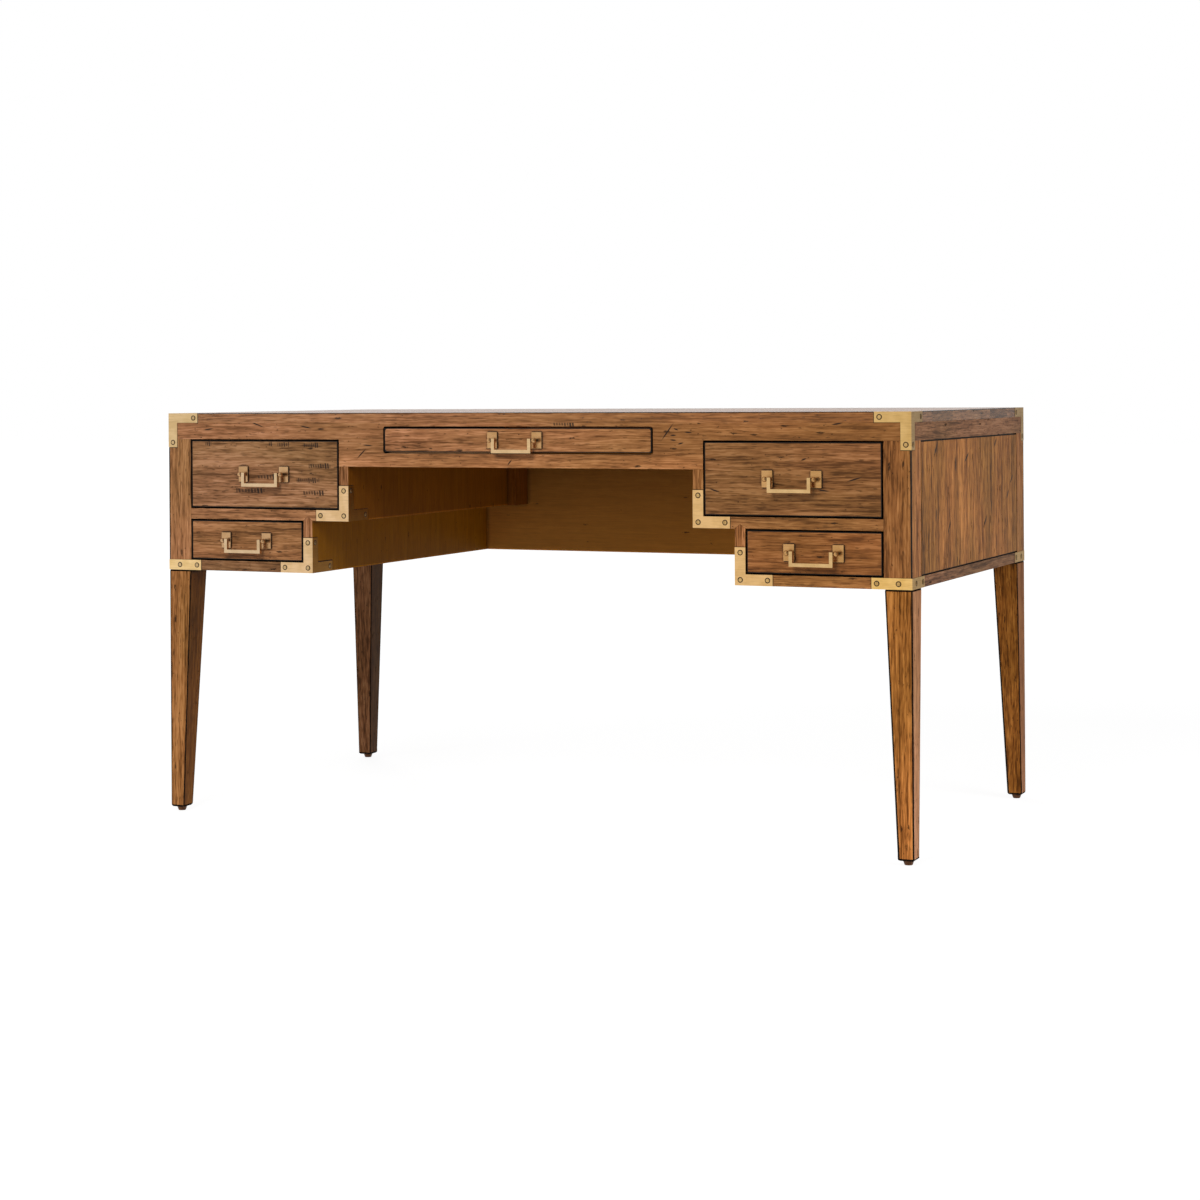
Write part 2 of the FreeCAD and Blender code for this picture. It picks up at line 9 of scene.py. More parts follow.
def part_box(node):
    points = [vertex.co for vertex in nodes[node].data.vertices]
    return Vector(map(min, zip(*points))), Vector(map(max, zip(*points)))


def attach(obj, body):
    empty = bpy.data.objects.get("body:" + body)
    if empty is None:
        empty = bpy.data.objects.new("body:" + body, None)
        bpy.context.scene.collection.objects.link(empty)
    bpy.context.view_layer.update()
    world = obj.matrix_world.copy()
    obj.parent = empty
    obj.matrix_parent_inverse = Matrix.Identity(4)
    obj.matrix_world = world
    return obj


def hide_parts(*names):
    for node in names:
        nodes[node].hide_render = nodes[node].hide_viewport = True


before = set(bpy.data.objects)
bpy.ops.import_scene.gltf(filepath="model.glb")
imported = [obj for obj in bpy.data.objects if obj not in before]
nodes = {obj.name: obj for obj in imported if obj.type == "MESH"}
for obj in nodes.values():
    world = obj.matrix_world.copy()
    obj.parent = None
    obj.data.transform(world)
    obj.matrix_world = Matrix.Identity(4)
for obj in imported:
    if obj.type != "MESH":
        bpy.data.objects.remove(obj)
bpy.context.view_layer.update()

# Campaign desk: distressed brown wood, satin brass and slotted screws, on a white studio floor.
# Metres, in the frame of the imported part: X to the right, the front faces -Y, Z up.
sides = ("left", "right")

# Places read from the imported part
desktop_low, desktop_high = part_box("desktop")
half_width = desktop_high.x
front_y = desktop_low.y
back_y = desktop_high.y
middle_y = (front_y + back_y) / 2
top_z = desktop_high.z
front_leg_low, front_leg_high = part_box("right_front_leg")
_, back_leg_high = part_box("right_back_leg")
back_panel_low, back_panel_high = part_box("back_panel")
front_apron_low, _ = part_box("front_apron")
leg_levels = (front_leg_low.z, front_leg_high.z)

# Arris rounding of each kind of piece
board_arris = 0.0004
frame_arris = 0.0002
drawer_arris = 0.0011
leg_arris = 0.0018
plate_arris = 0.00025
bail_arris = 0.0006
arris_segments = 2
weld_distance = 1e-6
flat_angle = math.radians(1)
sharp_angle = math.radians(40)

# Camera: where the photograph was taken from
camera_place = Vector((1.9835, -4.4446, 0.828))
camera_yaw = math.radians(24.003)
camera_roll = math.radians(-0.38)
photo_pixels = 1200.0
focal_pixels = 2436.6
horizon_row = 389.8
sensor_width = 36.0

# Screws, each on a dark disc painted as the shade of its countersink
screw_rim_radius = 0.0051
screw_rim_height = 0.00012
screw_base_height = 0.00035
screw_top_radius = 0.0031
slot_width = 0.0011
arc_steps = 14
crown_share = 0.9
head_slot = 0
rim_slot = 1

# Random draws: shifts of the grain and turns of the screws
seed = 11
shift_reach = 4.0
seeded = random.Random(seed)


# Shader building blocks

def add_node(tree, kind, sockets=None, **settings):
    """A shader node with its settings made, and its input sockets set or linked."""
    made = tree.nodes.new("ShaderNode" + kind)
    for name, value in settings.items():
        setattr(made, name, value)
    fill_sockets(tree, made, sockets or {})
    return made


def fill_sockets(tree, made, sockets):
    """Sets or links input sockets of a node. A colour gets its alpha."""
    for socket, value in sockets.items():
        target = made.inputs[socket]
        if isinstance(value, bpy.types.NodeSocket):
            tree.links.new(value, target)
        elif target.type == "RGBA":
            target.default_value = (*value, 1.0)
        else:
            target.default_value = value


def maths(tree, operation, *values):
    return add_node(tree, "Math", dict(enumerate(values)), operation=operation).outputs[0]


def product(tree, first, *others):
    """Several values multiplied."""
    found = first
    for other in others:
        found = maths(tree, "MULTIPLY", found, other)
    return found


def minus(tree, value, other):
    return maths(tree, "SUBTRACT", value, other)


def scaled(tree, value, scale, offset):
    return maths(tree, "MULTIPLY_ADD", value, scale, offset)


def vectors(tree, operation, *values):
    return add_node(tree, "VectorMath", dict(enumerate(values)), operation=operation).outputs


def times(tree, vector, scale):
    return vectors(tree, "MULTIPLY", vector, scale)[0]


def plus(tree, vector, offset):
    return vectors(tree, "ADD", vector, offset)[0]


def size_of(tree, vector):
    return vectors(tree, "LENGTH", vector)["Value"]


def split(tree, vector):
    return add_node(tree, "SeparateXYZ", {0: vector}).outputs


def join(tree, x, y, z):
    return add_node(tree, "CombineXYZ", {0: x, 1: y, 2: z}).outputs[0]


def shaded(tree, colour, shade):
    """A colour made lighter or darker by one value."""
    return times(tree, colour, join(tree, shade, shade, shade))


def eased(tree, value, start, end, low=0.0, high=1.0):
    """A smooth step from low at start to high at end."""
    sockets = {"Value": value, "From Min": start, "From Max": end, "To Min": low, "To Max": high}
    return add_node(tree, "MapRange", sockets, interpolation_type="SMOOTHSTEP").outputs[0]


# Noise patterns, from soft to fully detailed
soft_detail = 2.0
mid_detail = 3.0
full_detail = 4.0
even_roughness = 0.5
noise_middle = 0.5


def noise(tree, vector, detail, roughness=even_roughness):
    sockets = {"Vector": vector, "Scale": 1.0, "Detail": detail, "Roughness": roughness}
    return add_node(tree, "TexNoise", sockets).outputs["Fac"]


def chance_of(tree, number):
    """A random value from 0 to 1 for each whole number."""
    return add_node(tree, "TexWhiteNoise", {"W": number}, noise_dimensions="1D").outputs["Value"]


def mixed(tree, share, first, second):
    """Between two colours, a Mix node's inputs 6 and 7."""
    sockets = {0: share, 6: first, 7: second}
    return add_node(tree, "Mix", sockets, data_type="RGBA", clamp_factor=False).outputs[2]


def mixed_vectors(tree, share, first, second):
    """Between two vectors, a Mix node's inputs 4 and 5."""
    sockets = {0: share, 4: first, 5: second}
    return add_node(tree, "Mix", sockets, data_type="VECTOR").outputs[1]


def greatest(tree, values):
    """The largest of several masks."""
    found = values[0]
    for value in values[1:]:
        found = maths(tree, "MAXIMUM", found, value)
    return found


def colour_ramp(tree, value, stops):
    """Colours along a value: stops are pairs of a place and an RGB colour."""
    made = add_node(tree, "ValToRGB", {0: value})
    while len(made.color_ramp.elements) < len(stops):
        made.color_ramp.elements.new(1.0)
    for element, (place, colour) in zip(made.color_ramp.elements, stops):
        element.position = place
        element.color = (*colour, 1.0)
    return made.outputs["Color"]


def new_group(name, inputs, outputs):
    """An empty shader group with its sockets, what it is given and the node that takes what it finds."""
    group = bpy.data.node_groups.new(name, "ShaderNodeTree")
    for way, sockets in (("INPUT", inputs), ("OUTPUT", outputs)):
        for socket, kind in sockets:
            group.interface.new_socket(socket, in_out=way, socket_type="NodeSocket" + kind)
    return group, group.nodes.new("NodeGroupInput").outputs, group.nodes.new("NodeGroupOutput")


def use_group(tree, group, sockets):
    return add_node(tree, "Group", sockets, node_tree=group).outputs


def new_material(name):
    """A material with a bare Principled shader."""
    material = bpy.data.materials.new(name)
    material.use_nodes = True
    tree = material.node_tree
    tree.nodes.clear()
    shader = add_node(tree, "BsdfPrincipled")
    add_node(tree, "OutputMaterial", {"Surface": shader.outputs[0]})
    return material, tree, shader


def object_place(tree):
    return add_node(tree, "TexCoord").outputs["Object"]


def bumped(tree, height, strength, depth):
    """A surface raised by a height."""
    return add_node(tree, "Bump", {"Height": height, "Strength": strength, "Distance": depth}).outputs[0]


def new_object(name, data):
    """An object in the scene for a mesh, a lamp or a camera."""
    made = bpy.data.objects.new(name, data)
    bpy.context.scene.collection.objects.link(made)
    return made


# Shading of corners and faces
sky_samples = 8
facing_share = 0.7


def open_sky(tree, distance):
    """1 where nothing stands close, less in gaps and corners."""
    return add_node(tree, "AmbientOcclusion", {"Distance": distance}, samples=sky_samples).outputs["AO"]


def faces(tree, way):
    """1 on a piece's faces to left and right (side), to front and back (end) or forwards only (front)."""
    x, y, _ = split(tree, add_node(tree, "TexCoord").outputs["Normal"])
    if way == "front":
        return maths(tree, "LESS_THAN", y, -facing_share)
    across = x if way == "side" else y
    return maths(tree, "GREATER_THAN", maths(tree, "ABSOLUTE", across), facing_share)


# Painted light: the colour is a little cooler at the left end of the desk and warmer at the right, as the
# light on it falls
left_light_tint = (1.0, 1.05, 1.22)
right_light_tint = (1.0, 0.95, 0.80)


def tinted_by_light(tree, colour, place):
    share = eased(tree, split(tree, place)[0], -half_width, half_width)
    return times(tree, colour, mixed(tree, share, left_light_tint, right_light_tint))


# Wood: colours of its figure, from dark to light streaks
wood_dark = (0.125, 0.046, 0.012)
wood_brown = (0.255, 0.099, 0.030)
wood_tan = (0.335, 0.135, 0.042)
wood_light = (0.470, 0.205, 0.074)
figure_stops = [(0.428, wood_dark), (0.477, wood_brown), (0.523, wood_tan), (0.580, wood_light)]
# Colour of burns, dents and dark marks, and of the painted shade in gaps and corners
dark_marks_and_shade = (0.010, 0.007, 0.005)
olive_tint = (0.98, 1.01, 0.94)
red_tint = (1.02, 0.99, 1.05)

# Wood: how often each layer of its figure repeats in a metre along, across and through the grain
wander_scale = (3.0, 14.0, 14.0)
band_scale = (2.6, 46.0, 46.0)
blotch_scale = (30.0, 95.0, 95.0)
streak_scale = (9.0, 260.0, 260.0)
fibre_scale = (34.0, 420.0, 420.0)
patch_scale = (3.0, 11.0, 11.0)
pore_scale = (46.0, 330.0, 330.0)
rag_scale = (150.0, 260.0, 260.0)
dash_scale = (17.0, 80.0, 80.0)
fleck_scale = (38.0, 170.0, 170.0)
speck_scale = (75.0, 120.0, 120.0)
wander_reach = 0.014
rag_reach = 0.006

# Wood: how far pores and dents reach in their cells, and how many cells have one
pore_reach = 0.36
pore_least = 0.5
dash_reach = 0.18
fleck_reach = 0.24
speck_reach = 0.17
small_mark_power = 0.5

# Wood: how much each layer counts
layer_roughness = 0.6
band_share = 0.26
blotch_share = 0.13
streak_share = 0.36
fibre_share = 0.25
pore_share = 0.42
speck_share = 0.8
fleck_share = 0.6
figure_relief_share = 0.5
wear_share = 0.5
patch_range = (0.35, 0.65)
patch_shades = (0.92, 1.08)


def wander(tree, vector, scale, reach):
    """A wavering offset, alike across and through the grain."""
    wave = noise(tree, times(tree, vector, scale), soft_detail)
    return product(tree, minus(tree, wave, noise_middle), reach)


def scattered_marks(tree, vector, reach, least):
    """Small dark spots in some of the cells of a stretched cell pattern."""
    cells = add_node(tree, "TexVoronoi", {"Vector": vector, "Scale": 1.0, "Randomness": 1.0})
    spot = eased(tree, cells.outputs["Distance"], reach, reach / 2)
    chosen = maths(tree, "GREATER_THAN", split(tree, cells.outputs["Color"])[0], least)
    return product(tree, spot, chosen)


def figure_layers(tree, waved):
    """Bands, blotches, streaks and fibres of the grain, added up."""
    layers = (
        (band_scale, full_detail, layer_roughness, band_share),
        (blotch_scale, mid_detail, layer_roughness, blotch_share),
        (streak_scale, mid_detail, layer_roughness, streak_share),
        (fibre_scale, soft_detail, even_roughness, fibre_share),
    )
    figure = 0.0
    for scale, detail, roughness, share in layers:
        layer = noise(tree, times(tree, waved, scale), detail, roughness)
        figure = scaled(tree, layer, share, figure)
    return figure


def figure_colour(tree, grain, waved, figure):
    """Colour of the figure with its pores, tinted and shaded in broad patches."""
    patches = noise(tree, times(tree, grain, patch_scale), soft_detail)
    tint = mixed(tree, eased(tree, patches, *patch_range), olive_tint, red_tint)
    colour = times(tree, colour_ramp(tree, figure, figure_stops), tint)
    pores = scattered_marks(tree, times(tree, waved, pore_scale), pore_reach, pore_least)
    colour = shaded(tree, colour, scaled(tree, pores, -pore_share, 1.0))
    return shaded(tree, colour, eased(tree, patches, *patch_range, *patch_shades))


def figure_dents(tree, grain, waved, wear):
    """Ragged dark dashes, flecks and specks, more of them where there is more wear."""
    rag = wander(tree, grain, rag_scale, rag_reach)
    torn = plus(tree, waved, join(tree, rag, rag, rag))
    few = scaled(tree, wear, -wear_share, 1.0)
    fewer = maths(tree, "POWER", few, small_mark_power)
    dashes = scattered_marks(tree, times(tree, torn, dash_scale), dash_reach, few)
    flecks = scattered_marks(tree, times(tree, torn, fleck_scale), fleck_reach, fewer)
    specks = scattered_marks(tree, times(tree, torn, speck_scale), speck_reach, fewer)
    return greatest(tree, [dashes, product(tree, flecks, fleck_share), product(tree, specks, speck_share)])


def wood_figure_group():
    """Colour, dents and relief of a board, from a place given as along, across and through its grain."""
    group, given, found = new_group(
        "wood_figure",
        [("Grain", "Vector"), ("Wear", "Float")],
        [("Colour", "Color"), ("Dents", "Float"), ("Relief", "Float")],
    )
    grain = given["Grain"]
    drift = wander(group, grain, wander_scale, wander_reach)
    waved = plus(group, grain, join(group, 0.0, drift, drift))
    figure = figure_layers(group, waved)
    dents = figure_dents(group, grain, waved, given["Wear"])
    relief = minus(group, product(group, figure, figure_relief_share), dents)
    colour = figure_colour(group, grain, waved, figure)
    fill_sockets(group, found, {"Colour": colour, "Dents": dents, "Relief": relief})
    return group


# Rows of tool marks: shape and depth of their ticks
tick_lean = 0.14
tick_edge = (0.44, 0.22)
least_tick_height = 0.6
tick_height_spread = 0.4
tick_taper = 0.3
least_tick_depth = 0.65
tick_depth_spread = 0.3
comb_end = (1.02, 0.98)
cell_middle = 0.5


def comb_group():
    """A row of short upright tool marks, over places from -1 to 1 along and up the row."""
    group, given, found = new_group(
        "tool_marks", [("Place", "Vector"), ("Count", "Float")], [("Mask", "Float")]
    )
    along, up, _ = split(group, given["Place"])
    half_count = maths(group, "DIVIDE", given["Count"], 2.0)
    leaning = scaled(group, up, tick_lean, product(group, along, half_count))
    chance = chance_of(group, maths(group, "FLOOR", leaning))
    across = minus(group, maths(group, "FRACT", leaning), cell_middle)
    tick = eased(group, maths(group, "ABSOLUTE", across), *tick_edge)
    reach = scaled(group, chance, tick_height_spread, least_tick_height)
    beyond = minus(group, maths(group, "ABSOLUTE", up), reach)
    height = eased(group, beyond, 0.0, -tick_taper)
    inside = eased(group, maths(group, "ABSOLUTE", along), *comb_end)
    depth = scaled(group, chance, tick_depth_spread, least_tick_depth)
    fill_sockets(group, found, {"Mask": product(group, tick, height, inside, depth)})
    return group


wood_figure = wood_figure_group()
tool_marks = comb_group()


def grain_place(tree, place, direction):
    """Object coordinates put in the order along, across and through the grain, which runs along an axis
    or, in a frame, along Y on the faces to the sides and along X on the others."""
    x, y, z = split(tree, place)
    orders = {"x": (x, y, z), "y": (y, x, z), "z": (z, x, y)}
    if direction in orders:
        return join(tree, *orders[direction])
    return mixed_vectors(tree, faces(tree, "side"), place, join(tree, *orders["y"]))


def local_place(tree, flat, middle, angle, half_length, half_across):
    """A flat place seen from a mark's own middle, turned along it and divided by its half sizes."""
    sockets = {
        "Vector": flat,
        "Location": (*middle, 0.0),
        "Rotation": (0.0, 0.0, angle),
        "Scale": (half_length, half_across, 1.0),
    }
    return add_node(tree, "Mapping", sockets, vector_type="TEXTURE").outputs[0]


def stroke_mask(tree, flat, start, end, width):
    """A tapering scratch between two places on a face."""
    run = end - start
    angle = math.atan2(run.y, run.x)
    local = local_place(tree, flat, (start + end) / 2, angle, run.length / 2, width / 2)
    return eased(tree, size_of(tree, local), *stroke_edge)


def comb_mask(tree, flat, middle, length, count):
    """A row of tool marks on a face."""
    local = local_place(tree, flat, middle, 0.0, length / 2, comb_height / 2)
    return use_group(tree, tool_marks, {"Place": local, "Count": count})["Mask"]


def off_middle_of(tree, flat, middle):
    """How far a flat place is from a middle, along and up."""
    offset = plus(tree, flat, (-middle[0], -middle[1], 0.0))
    return vectors(tree, "ABSOLUTE", offset)[0]


def seam_mask(tree, flat, middle, half_size):
    """A dark joint line where a brass plate ends: a small rectangle with soft edges."""
    along, up, _ = split(tree, off_middle_of(tree, flat, middle))
    inside = minus(tree, half_size[0], along)
    below = minus(tree, half_size[1], up)
    return eased(tree, maths(tree, "MINIMUM", inside, below), 0.0, seam_half / 2, 0.0, seam_depth)


def joint_line(tree, way, place, middle, half_size):
    """Joint lines on the faces to front and back (end), alike on both halves of the desk, or on the faces
    to the sides (side), alike at the front and at the back."""
    x, y, z = split(tree, place)
    across = x if way == "end" else minus(tree, y, middle_y)
    flat = join(tree, maths(tree, "ABSOLUTE", across), z, 0.0)
    return product(tree, seam_mask(tree, flat, middle, half_size), faces(tree, way))


def rim_mask(tree, flat, low, high, radius):
    """The blackened rim of a board with round corners, seen from the front."""
    half_size = (high - low) / 2
    off_middle = off_middle_of(tree, flat, (low + high) / 2)
    beyond = plus(tree, off_middle, (radius - half_size.x, radius - half_size.y, 0.0))
    outside = vectors(tree, "MAXIMUM", beyond, (0.0, 0.0, 0.0))[0]
    start, end = (radius - share * drawer_rim for share in rim_shares)
    return eased(tree, size_of(tree, outside), start, end)


def arris_mask(tree, place, along, first, second, width):
    """A burnished edge along one axis, given by its other two coordinates, alike on both sides in X."""
    x, y, z = split(tree, place)
    x = maths(tree, "ABSOLUTE", x)
    pair = {"x": (y, z), "y": (x, z), "z": (x, y)}[along]
    offset = plus(tree, join(tree, *pair, 0.0), (-first, -second, 0.0))
    return eased(tree, size_of(tree, offset), width, width * burn_core_share)


def stave_number(tree, place):
    """Number of a stave of the glued-up top, counted from the front."""
    y = split(tree, place)[1]
    return maths(tree, "FLOOR", maths(tree, "DIVIDE", minus(tree, y, front_y), stave_width))


def stave_shade(tree, number):
    """A shade for each stave behind the first."""
    shade = scaled(tree, chance_of(tree, number), stave_contrast, -stave_contrast / 2)
    return scaled(tree, shade, maths(tree, "MINIMUM", number, 1.0), 1.0)


def random_shift():
    return [seeded.uniform(-shift_reach, shift_reach) for _ in range(3)]


# Wood: painted shade in gaps and corners, rims, staves, dents and gloss
frame_shift = random_shift()
plain_tone = (1.0, 1.0, 1.0)
dent_depth = 0.80
# Painted shade in gaps and corners: how far the occlusion looks and where it counts
gap_distance = 0.011
corner_shade_range = (0.96, 0.60)
rim_depth = 0.008
rim_shares = (1.3, 0.7)
drawer_rim = 0.0015
square_corner = 0.0025
round_corner = 0.006
stave_width = 0.1305
stave_step = 1.37
stave_contrast = 0.26
relief_range = (-0.2, 0.35)
rough_dent = 0.75
rough_board = 0.50
wood_bump = {"strength": 0.6, "depth": 0.0008}
usual_wear = 0.7
usual_mirror = 0.22


def figured(tree, figure, tone, calm):
    """Colour of a board's figure in a tone, plainer with more calm and livelier below zero."""
    return times(tree, mixed(tree, calm, figure["Colour"], wood_brown), tone)


def marked(tree, colour, place, figure, masks, corner_shade):
    """Colour of a board with its dents, its own marks and painted shade in its gaps and corners."""
    dark = [product(tree, figure["Dents"], dent_depth)]
    if masks:
        dark += masks(tree, place)
    # Painted shade: darker where ambient occlusion finds gaps and corners close by
    dark.append(eased(tree, open_sky(tree, gap_distance), *corner_shade_range, 0.0, corner_shade))
    return mixed(tree, greatest(tree, dark), colour, dark_marks_and_shade)


def dress_wood(
    node, direction, tone=plain_tone, masks=None, wear=usual_wear, shift=None, face_tone=None, gloss=1.0,
    calm=0.0, corner_shade=1.0, mirror=usual_mirror, edge_highlight=None, painted_light_fade=None, staved=False,
):
    """Dresses a node in distressed wood with its grain along one axis. masks(tree, place) gives extra dark
    marks and edge_highlight(tree, place) pale lines of painted highlight. face_tone is a way, and the tone
    and calm of the faces to it. gloss scales the roughness, corner_shade is how dark the painted shade in
    gaps and corners is, mirror how much it reflects, painted_light_fade two heights and the painted
    brightness at each."""
    material, tree, shader = new_material(node + "_wood")
    place = object_place(tree)
    grain = plus(tree, grain_place(tree, place, direction), shift or random_shift())
    if staved:
        number = stave_number(tree, place)
        grain = plus(tree, grain, join(tree, product(tree, number, stave_step), 0.0, 0.0))
    figure = use_group(tree, wood_figure, {"Grain": grain, "Wear": wear})
    colour = figured(tree, figure, tone, calm)
    if face_tone:
        way, other_tone, other_calm = face_tone
        colour = mixed(tree, faces(tree, way), colour, figured(tree, figure, other_tone, other_calm))
    # Painted light: cooler colour at the left end of the desk, warmer at the right
    colour = tinted_by_light(tree, colour, place)
    if staved:
        colour = shaded(tree, colour, stave_shade(tree, number))
    # Painted highlight: pale lines along edges that catch the light
    if edge_highlight:
        colour = shaded(tree, colour, eased(tree, edge_highlight(tree, place), 0.0, 1.0, 1.0, highlight_shade))
    # Painted light and shade: brightness that changes with height
    if painted_light_fade:
        colour = shaded(tree, colour, eased(tree, split(tree, place)[2], *painted_light_fade))
    relief = figure["Relief"]
    fill_sockets(tree, shader, {
        "Base Color": marked(tree, colour, place, figure, masks, corner_shade),
        "Roughness": eased(tree, relief, *relief_range, rough_dent * gloss, rough_board * gloss),
        "Specular IOR Level": mirror,
        "Normal": bumped(tree, relief, **wood_bump),
    })
    dress(node, material)


# Marks that the desk shows. Combs: middle, length and number of ticks. Strokes: start and end.
# Those of drawers and side panel start from the middle of the board, those of the apron are x and z.
upper_left_combs = [
    (-0.127, 0.059, 0.014, 3.0),
    (0.015, 0.059, 0.008, 2.0),
    (0.044, 0.058, 0.026, 5.0),
    (0.106, 0.057, 0.033, 8.0),
    (0.125, 0.017, 0.048, 9.0),
    (0.099, -0.011, 0.050, 11.0),
    (0.111, -0.035, 0.047, 8.0),
    (-0.031, -0.032, 0.064, 9.0),
    (0.005, -0.005, 0.040, 6.0),
]
upper_right_strokes = [
    (0.100, -0.004, 0.131, 0.005),
    (0.046, -0.018, 0.071, -0.021),
    (-0.157, -0.018, -0.134, -0.025),
    (0.017, 0.033, 0.028, 0.037),
]
side_strokes = [
    (-0.224, 0.116, -0.254, 0.086),
    (-0.020, 0.090, -0.052, 0.072),
    (0.181, 0.113, 0.160, 0.095),
    (0.303, 0.038, 0.280, 0.020),
    (-0.145, -0.029, -0.166, -0.056),
    (0.108, -0.033, 0.078, -0.056),
    (0.272, 0.010, 0.253, -0.009),
    (-0.109, 0.087, -0.112, 0.056),
    (-0.239, -0.003, -0.243, -0.031),
    (0.143, -0.003, 0.134, -0.029),
]
apron_strokes = [
    (0.319, 0.768, 0.294, 0.735),
    (0.311, 0.745, 0.324, 0.745),
    (0.311, 0.737, 0.324, 0.736),
    (0.318, 0.758, 0.328, 0.754),
    (0.326, 0.729, 0.338, 0.732),
    (0.338, 0.751, 0.355, 0.750),
    (0.616, 0.764, 0.638, 0.767),
    (0.462, 0.783, 0.481, 0.785),
    (-0.006, 0.700, -0.016, 0.688),
    (-0.682, 0.754, -0.657, 0.757),
    (-0.640, 0.778, -0.627, 0.780),
    (-0.576, 0.771, -0.541, 0.759),
    (-0.463, 0.763, -0.435, 0.757),
    (-0.423, 0.756, -0.406, 0.756),
    (-0.336, 0.699, -0.315, 0.719),
    (-0.324, 0.726, -0.300, 0.724),
    (-0.157, 0.773, -0.144, 0.775),
]
apron_comb = (0.100, 0.766, 0.043, 8.0)
comb_height = 0.013
stroke_width = 0.0030
side_stroke_width = 0.0062
stroke_edge = (1.15, 0.45)


def middle_of(node):
    low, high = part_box(node)
    return (low + high) / 2


def strokes_on(tree, flat, middle, strokes, width):
    """Scratches on a face, given as offsets from its middle."""
    ends = [(Vector(stroke[:2]) + middle, Vector(stroke[2:]) + middle) for stroke in strokes]
    return [stroke_mask(tree, flat, start, end, width) for start, end in ends]


def front_flat(tree, place):
    x, _, z = split(tree, place)
    return join(tree, x, z, 0.0)


def upper_left_marks(tree, place):
    flat = front_flat(tree, place)
    middle = middle_of("left_upper_drawer_front")
    return [
        comb_mask(tree, flat, (middle.x + right, middle.z + up), length, count)
        for right, up, length, count in upper_left_combs
    ]


def upper_right_marks(tree, place):
    middle = middle_of("right_upper_drawer_front")
    return strokes_on(tree, front_flat(tree, place), middle.xz, upper_right_strokes, stroke_width)


def side_panel_marks(tree, place):
    _, y, z = split(tree, place)
    flat = join(tree, y, z, 0.0)
    return strokes_on(tree, flat, middle_of("right_side_panel").yz, side_strokes, side_stroke_width)


def apron_marks(tree, place):
    flat = front_flat(tree, place)
    right, up, length, count = apron_comb
    strokes = strokes_on(tree, flat, Vector((0.0, 0.0)), apron_strokes, stroke_width)
    return strokes + [comb_mask(tree, flat, (right, up), length, count)] + bracket_seams(tree, place)


# Burnished edges, joint lines where the brass ends, and painted highlights along edges
corner_burn = 0.0032
top_burn = 0.0018
inner_burn = 0.0019
burn_core_share = 0.6
seam_half = 0.0016
seam_depth = 0.9
bracket_width = 0.0205
step_arm_height = 0.0210
highlight_width = 0.0030
highlight_shade = 1.7


def loose_parts(mesh):
    """The vertices of each separate solid in a mesh, in the order of its first vertex."""
    welded = bmesh.new()
    welded.from_mesh(mesh)
    bmesh.ops.remove_doubles(welded, verts=welded.verts, dist=weld_distance)
    seen = set()
    parts = []
    for first in welded.verts:
        if first in seen:
            continue
        seen.add(first)
        reached = [first]
        for vertex in reached:
            for edge in vertex.link_edges:
                other = edge.other_vert(vertex)
                if other not in seen:
                    seen.add(other)
                    reached.append(other)
        parts.append([vertex.co.copy() for vertex in reached])
    welded.free()
    return parts


def box_of(points):
    """Lowest and highest corner of some points."""
    return [Vector([pick(p[axis] for p in points) for axis in range(3)]) for pick in (min, max)]


def plate_box(node, way):
    """Box of the plate of a node that lies farthest in one direction."""
    boxes = [box_of(points) for points in loose_parts(nodes[node].data)]
    return max(boxes, key=lambda box: (box[0] + box[1]).dot(Vector(way)))


right_front = (1.0, -1.0, 0.0)
right_top = (1.0, 0.0, 9.0)
right_bottom = (1.0, 0.0, -9.0)
bracket_low, bracket_high = plate_box("top_corner_brackets", right_front)
strap_low, strap_high = plate_box("base_straps", right_front)
step_boxes = {
    "upper": plate_box("step_brackets", right_top),
    "lower": plate_box("step_brackets", right_bottom),
}


def bracket_seams(tree, place):
    """Ends of the top brackets' level arms."""
    level = bracket_high.z - bracket_width / 2
    half_size = (seam_half, bracket_width / 2)
    front = joint_line(tree, "end", place, (bracket_low.x, level), half_size)
    return [front, joint_line(tree, "side", place, (middle_y - bracket_high.y, level), half_size)]


def post_seams(tree, place):
    """Ends of the top brackets' upright arms, and the burnt corners of the posts."""
    half_size = (bracket_width / 2, seam_half)
    front = joint_line(tree, "end", place, (half_width - bracket_width / 2, bracket_low.z), half_size)
    burns = [arris_mask(tree, place, "z", half_width, y, corner_burn) for y in (front_y, back_y)]
    return burns + [front]


def base_seams(tree, place):
    """Ends of the base straps and of the lower step brackets."""
    level = (strap_low.z + strap_high.z) / 2
    half_size = (seam_half, strap_high.z - strap_low.z)
    front = joint_line(tree, "end", place, (strap_low.x, level), half_size)
    _, step_high = step_boxes["lower"]
    step = joint_line(tree, "end", place, (step_high.x, level), half_size)
    return [front, step, joint_line(tree, "side", place, (middle_y - strap_high.y, level), half_size)]


def shelf_seams(tree, place):
    """Ends of the upper step brackets' level arms."""
    low, high = step_boxes["upper"]
    return [joint_line(tree, "end", place, (high.x, low.z), (seam_half, high.z - low.z))]


def wing_seams(tree, place, low, high):
    """Outline of a step bracket's wing, on the knee side of its panel."""
    _, y, z = split(tree, place)
    flat = join(tree, y, z, 0.0)
    inner = low.y + bracket_width
    level = low.z + step_arm_height
    edges = [
        (((inner + high.y) / 2, level), ((high.y - inner) / 2, seam_half)),
        ((high.y, (low.z + level) / 2), (seam_half, step_arm_height / 2)),
        ((inner, (level + high.z) / 2), (seam_half, (high.z - level) / 2)),
        ((low.y + bracket_width / 2, high.z), (bracket_width / 2, seam_half)),
    ]
    side = faces(tree, "side")
    return [product(tree, seam_mask(tree, flat, *edge), side) for edge in edges]


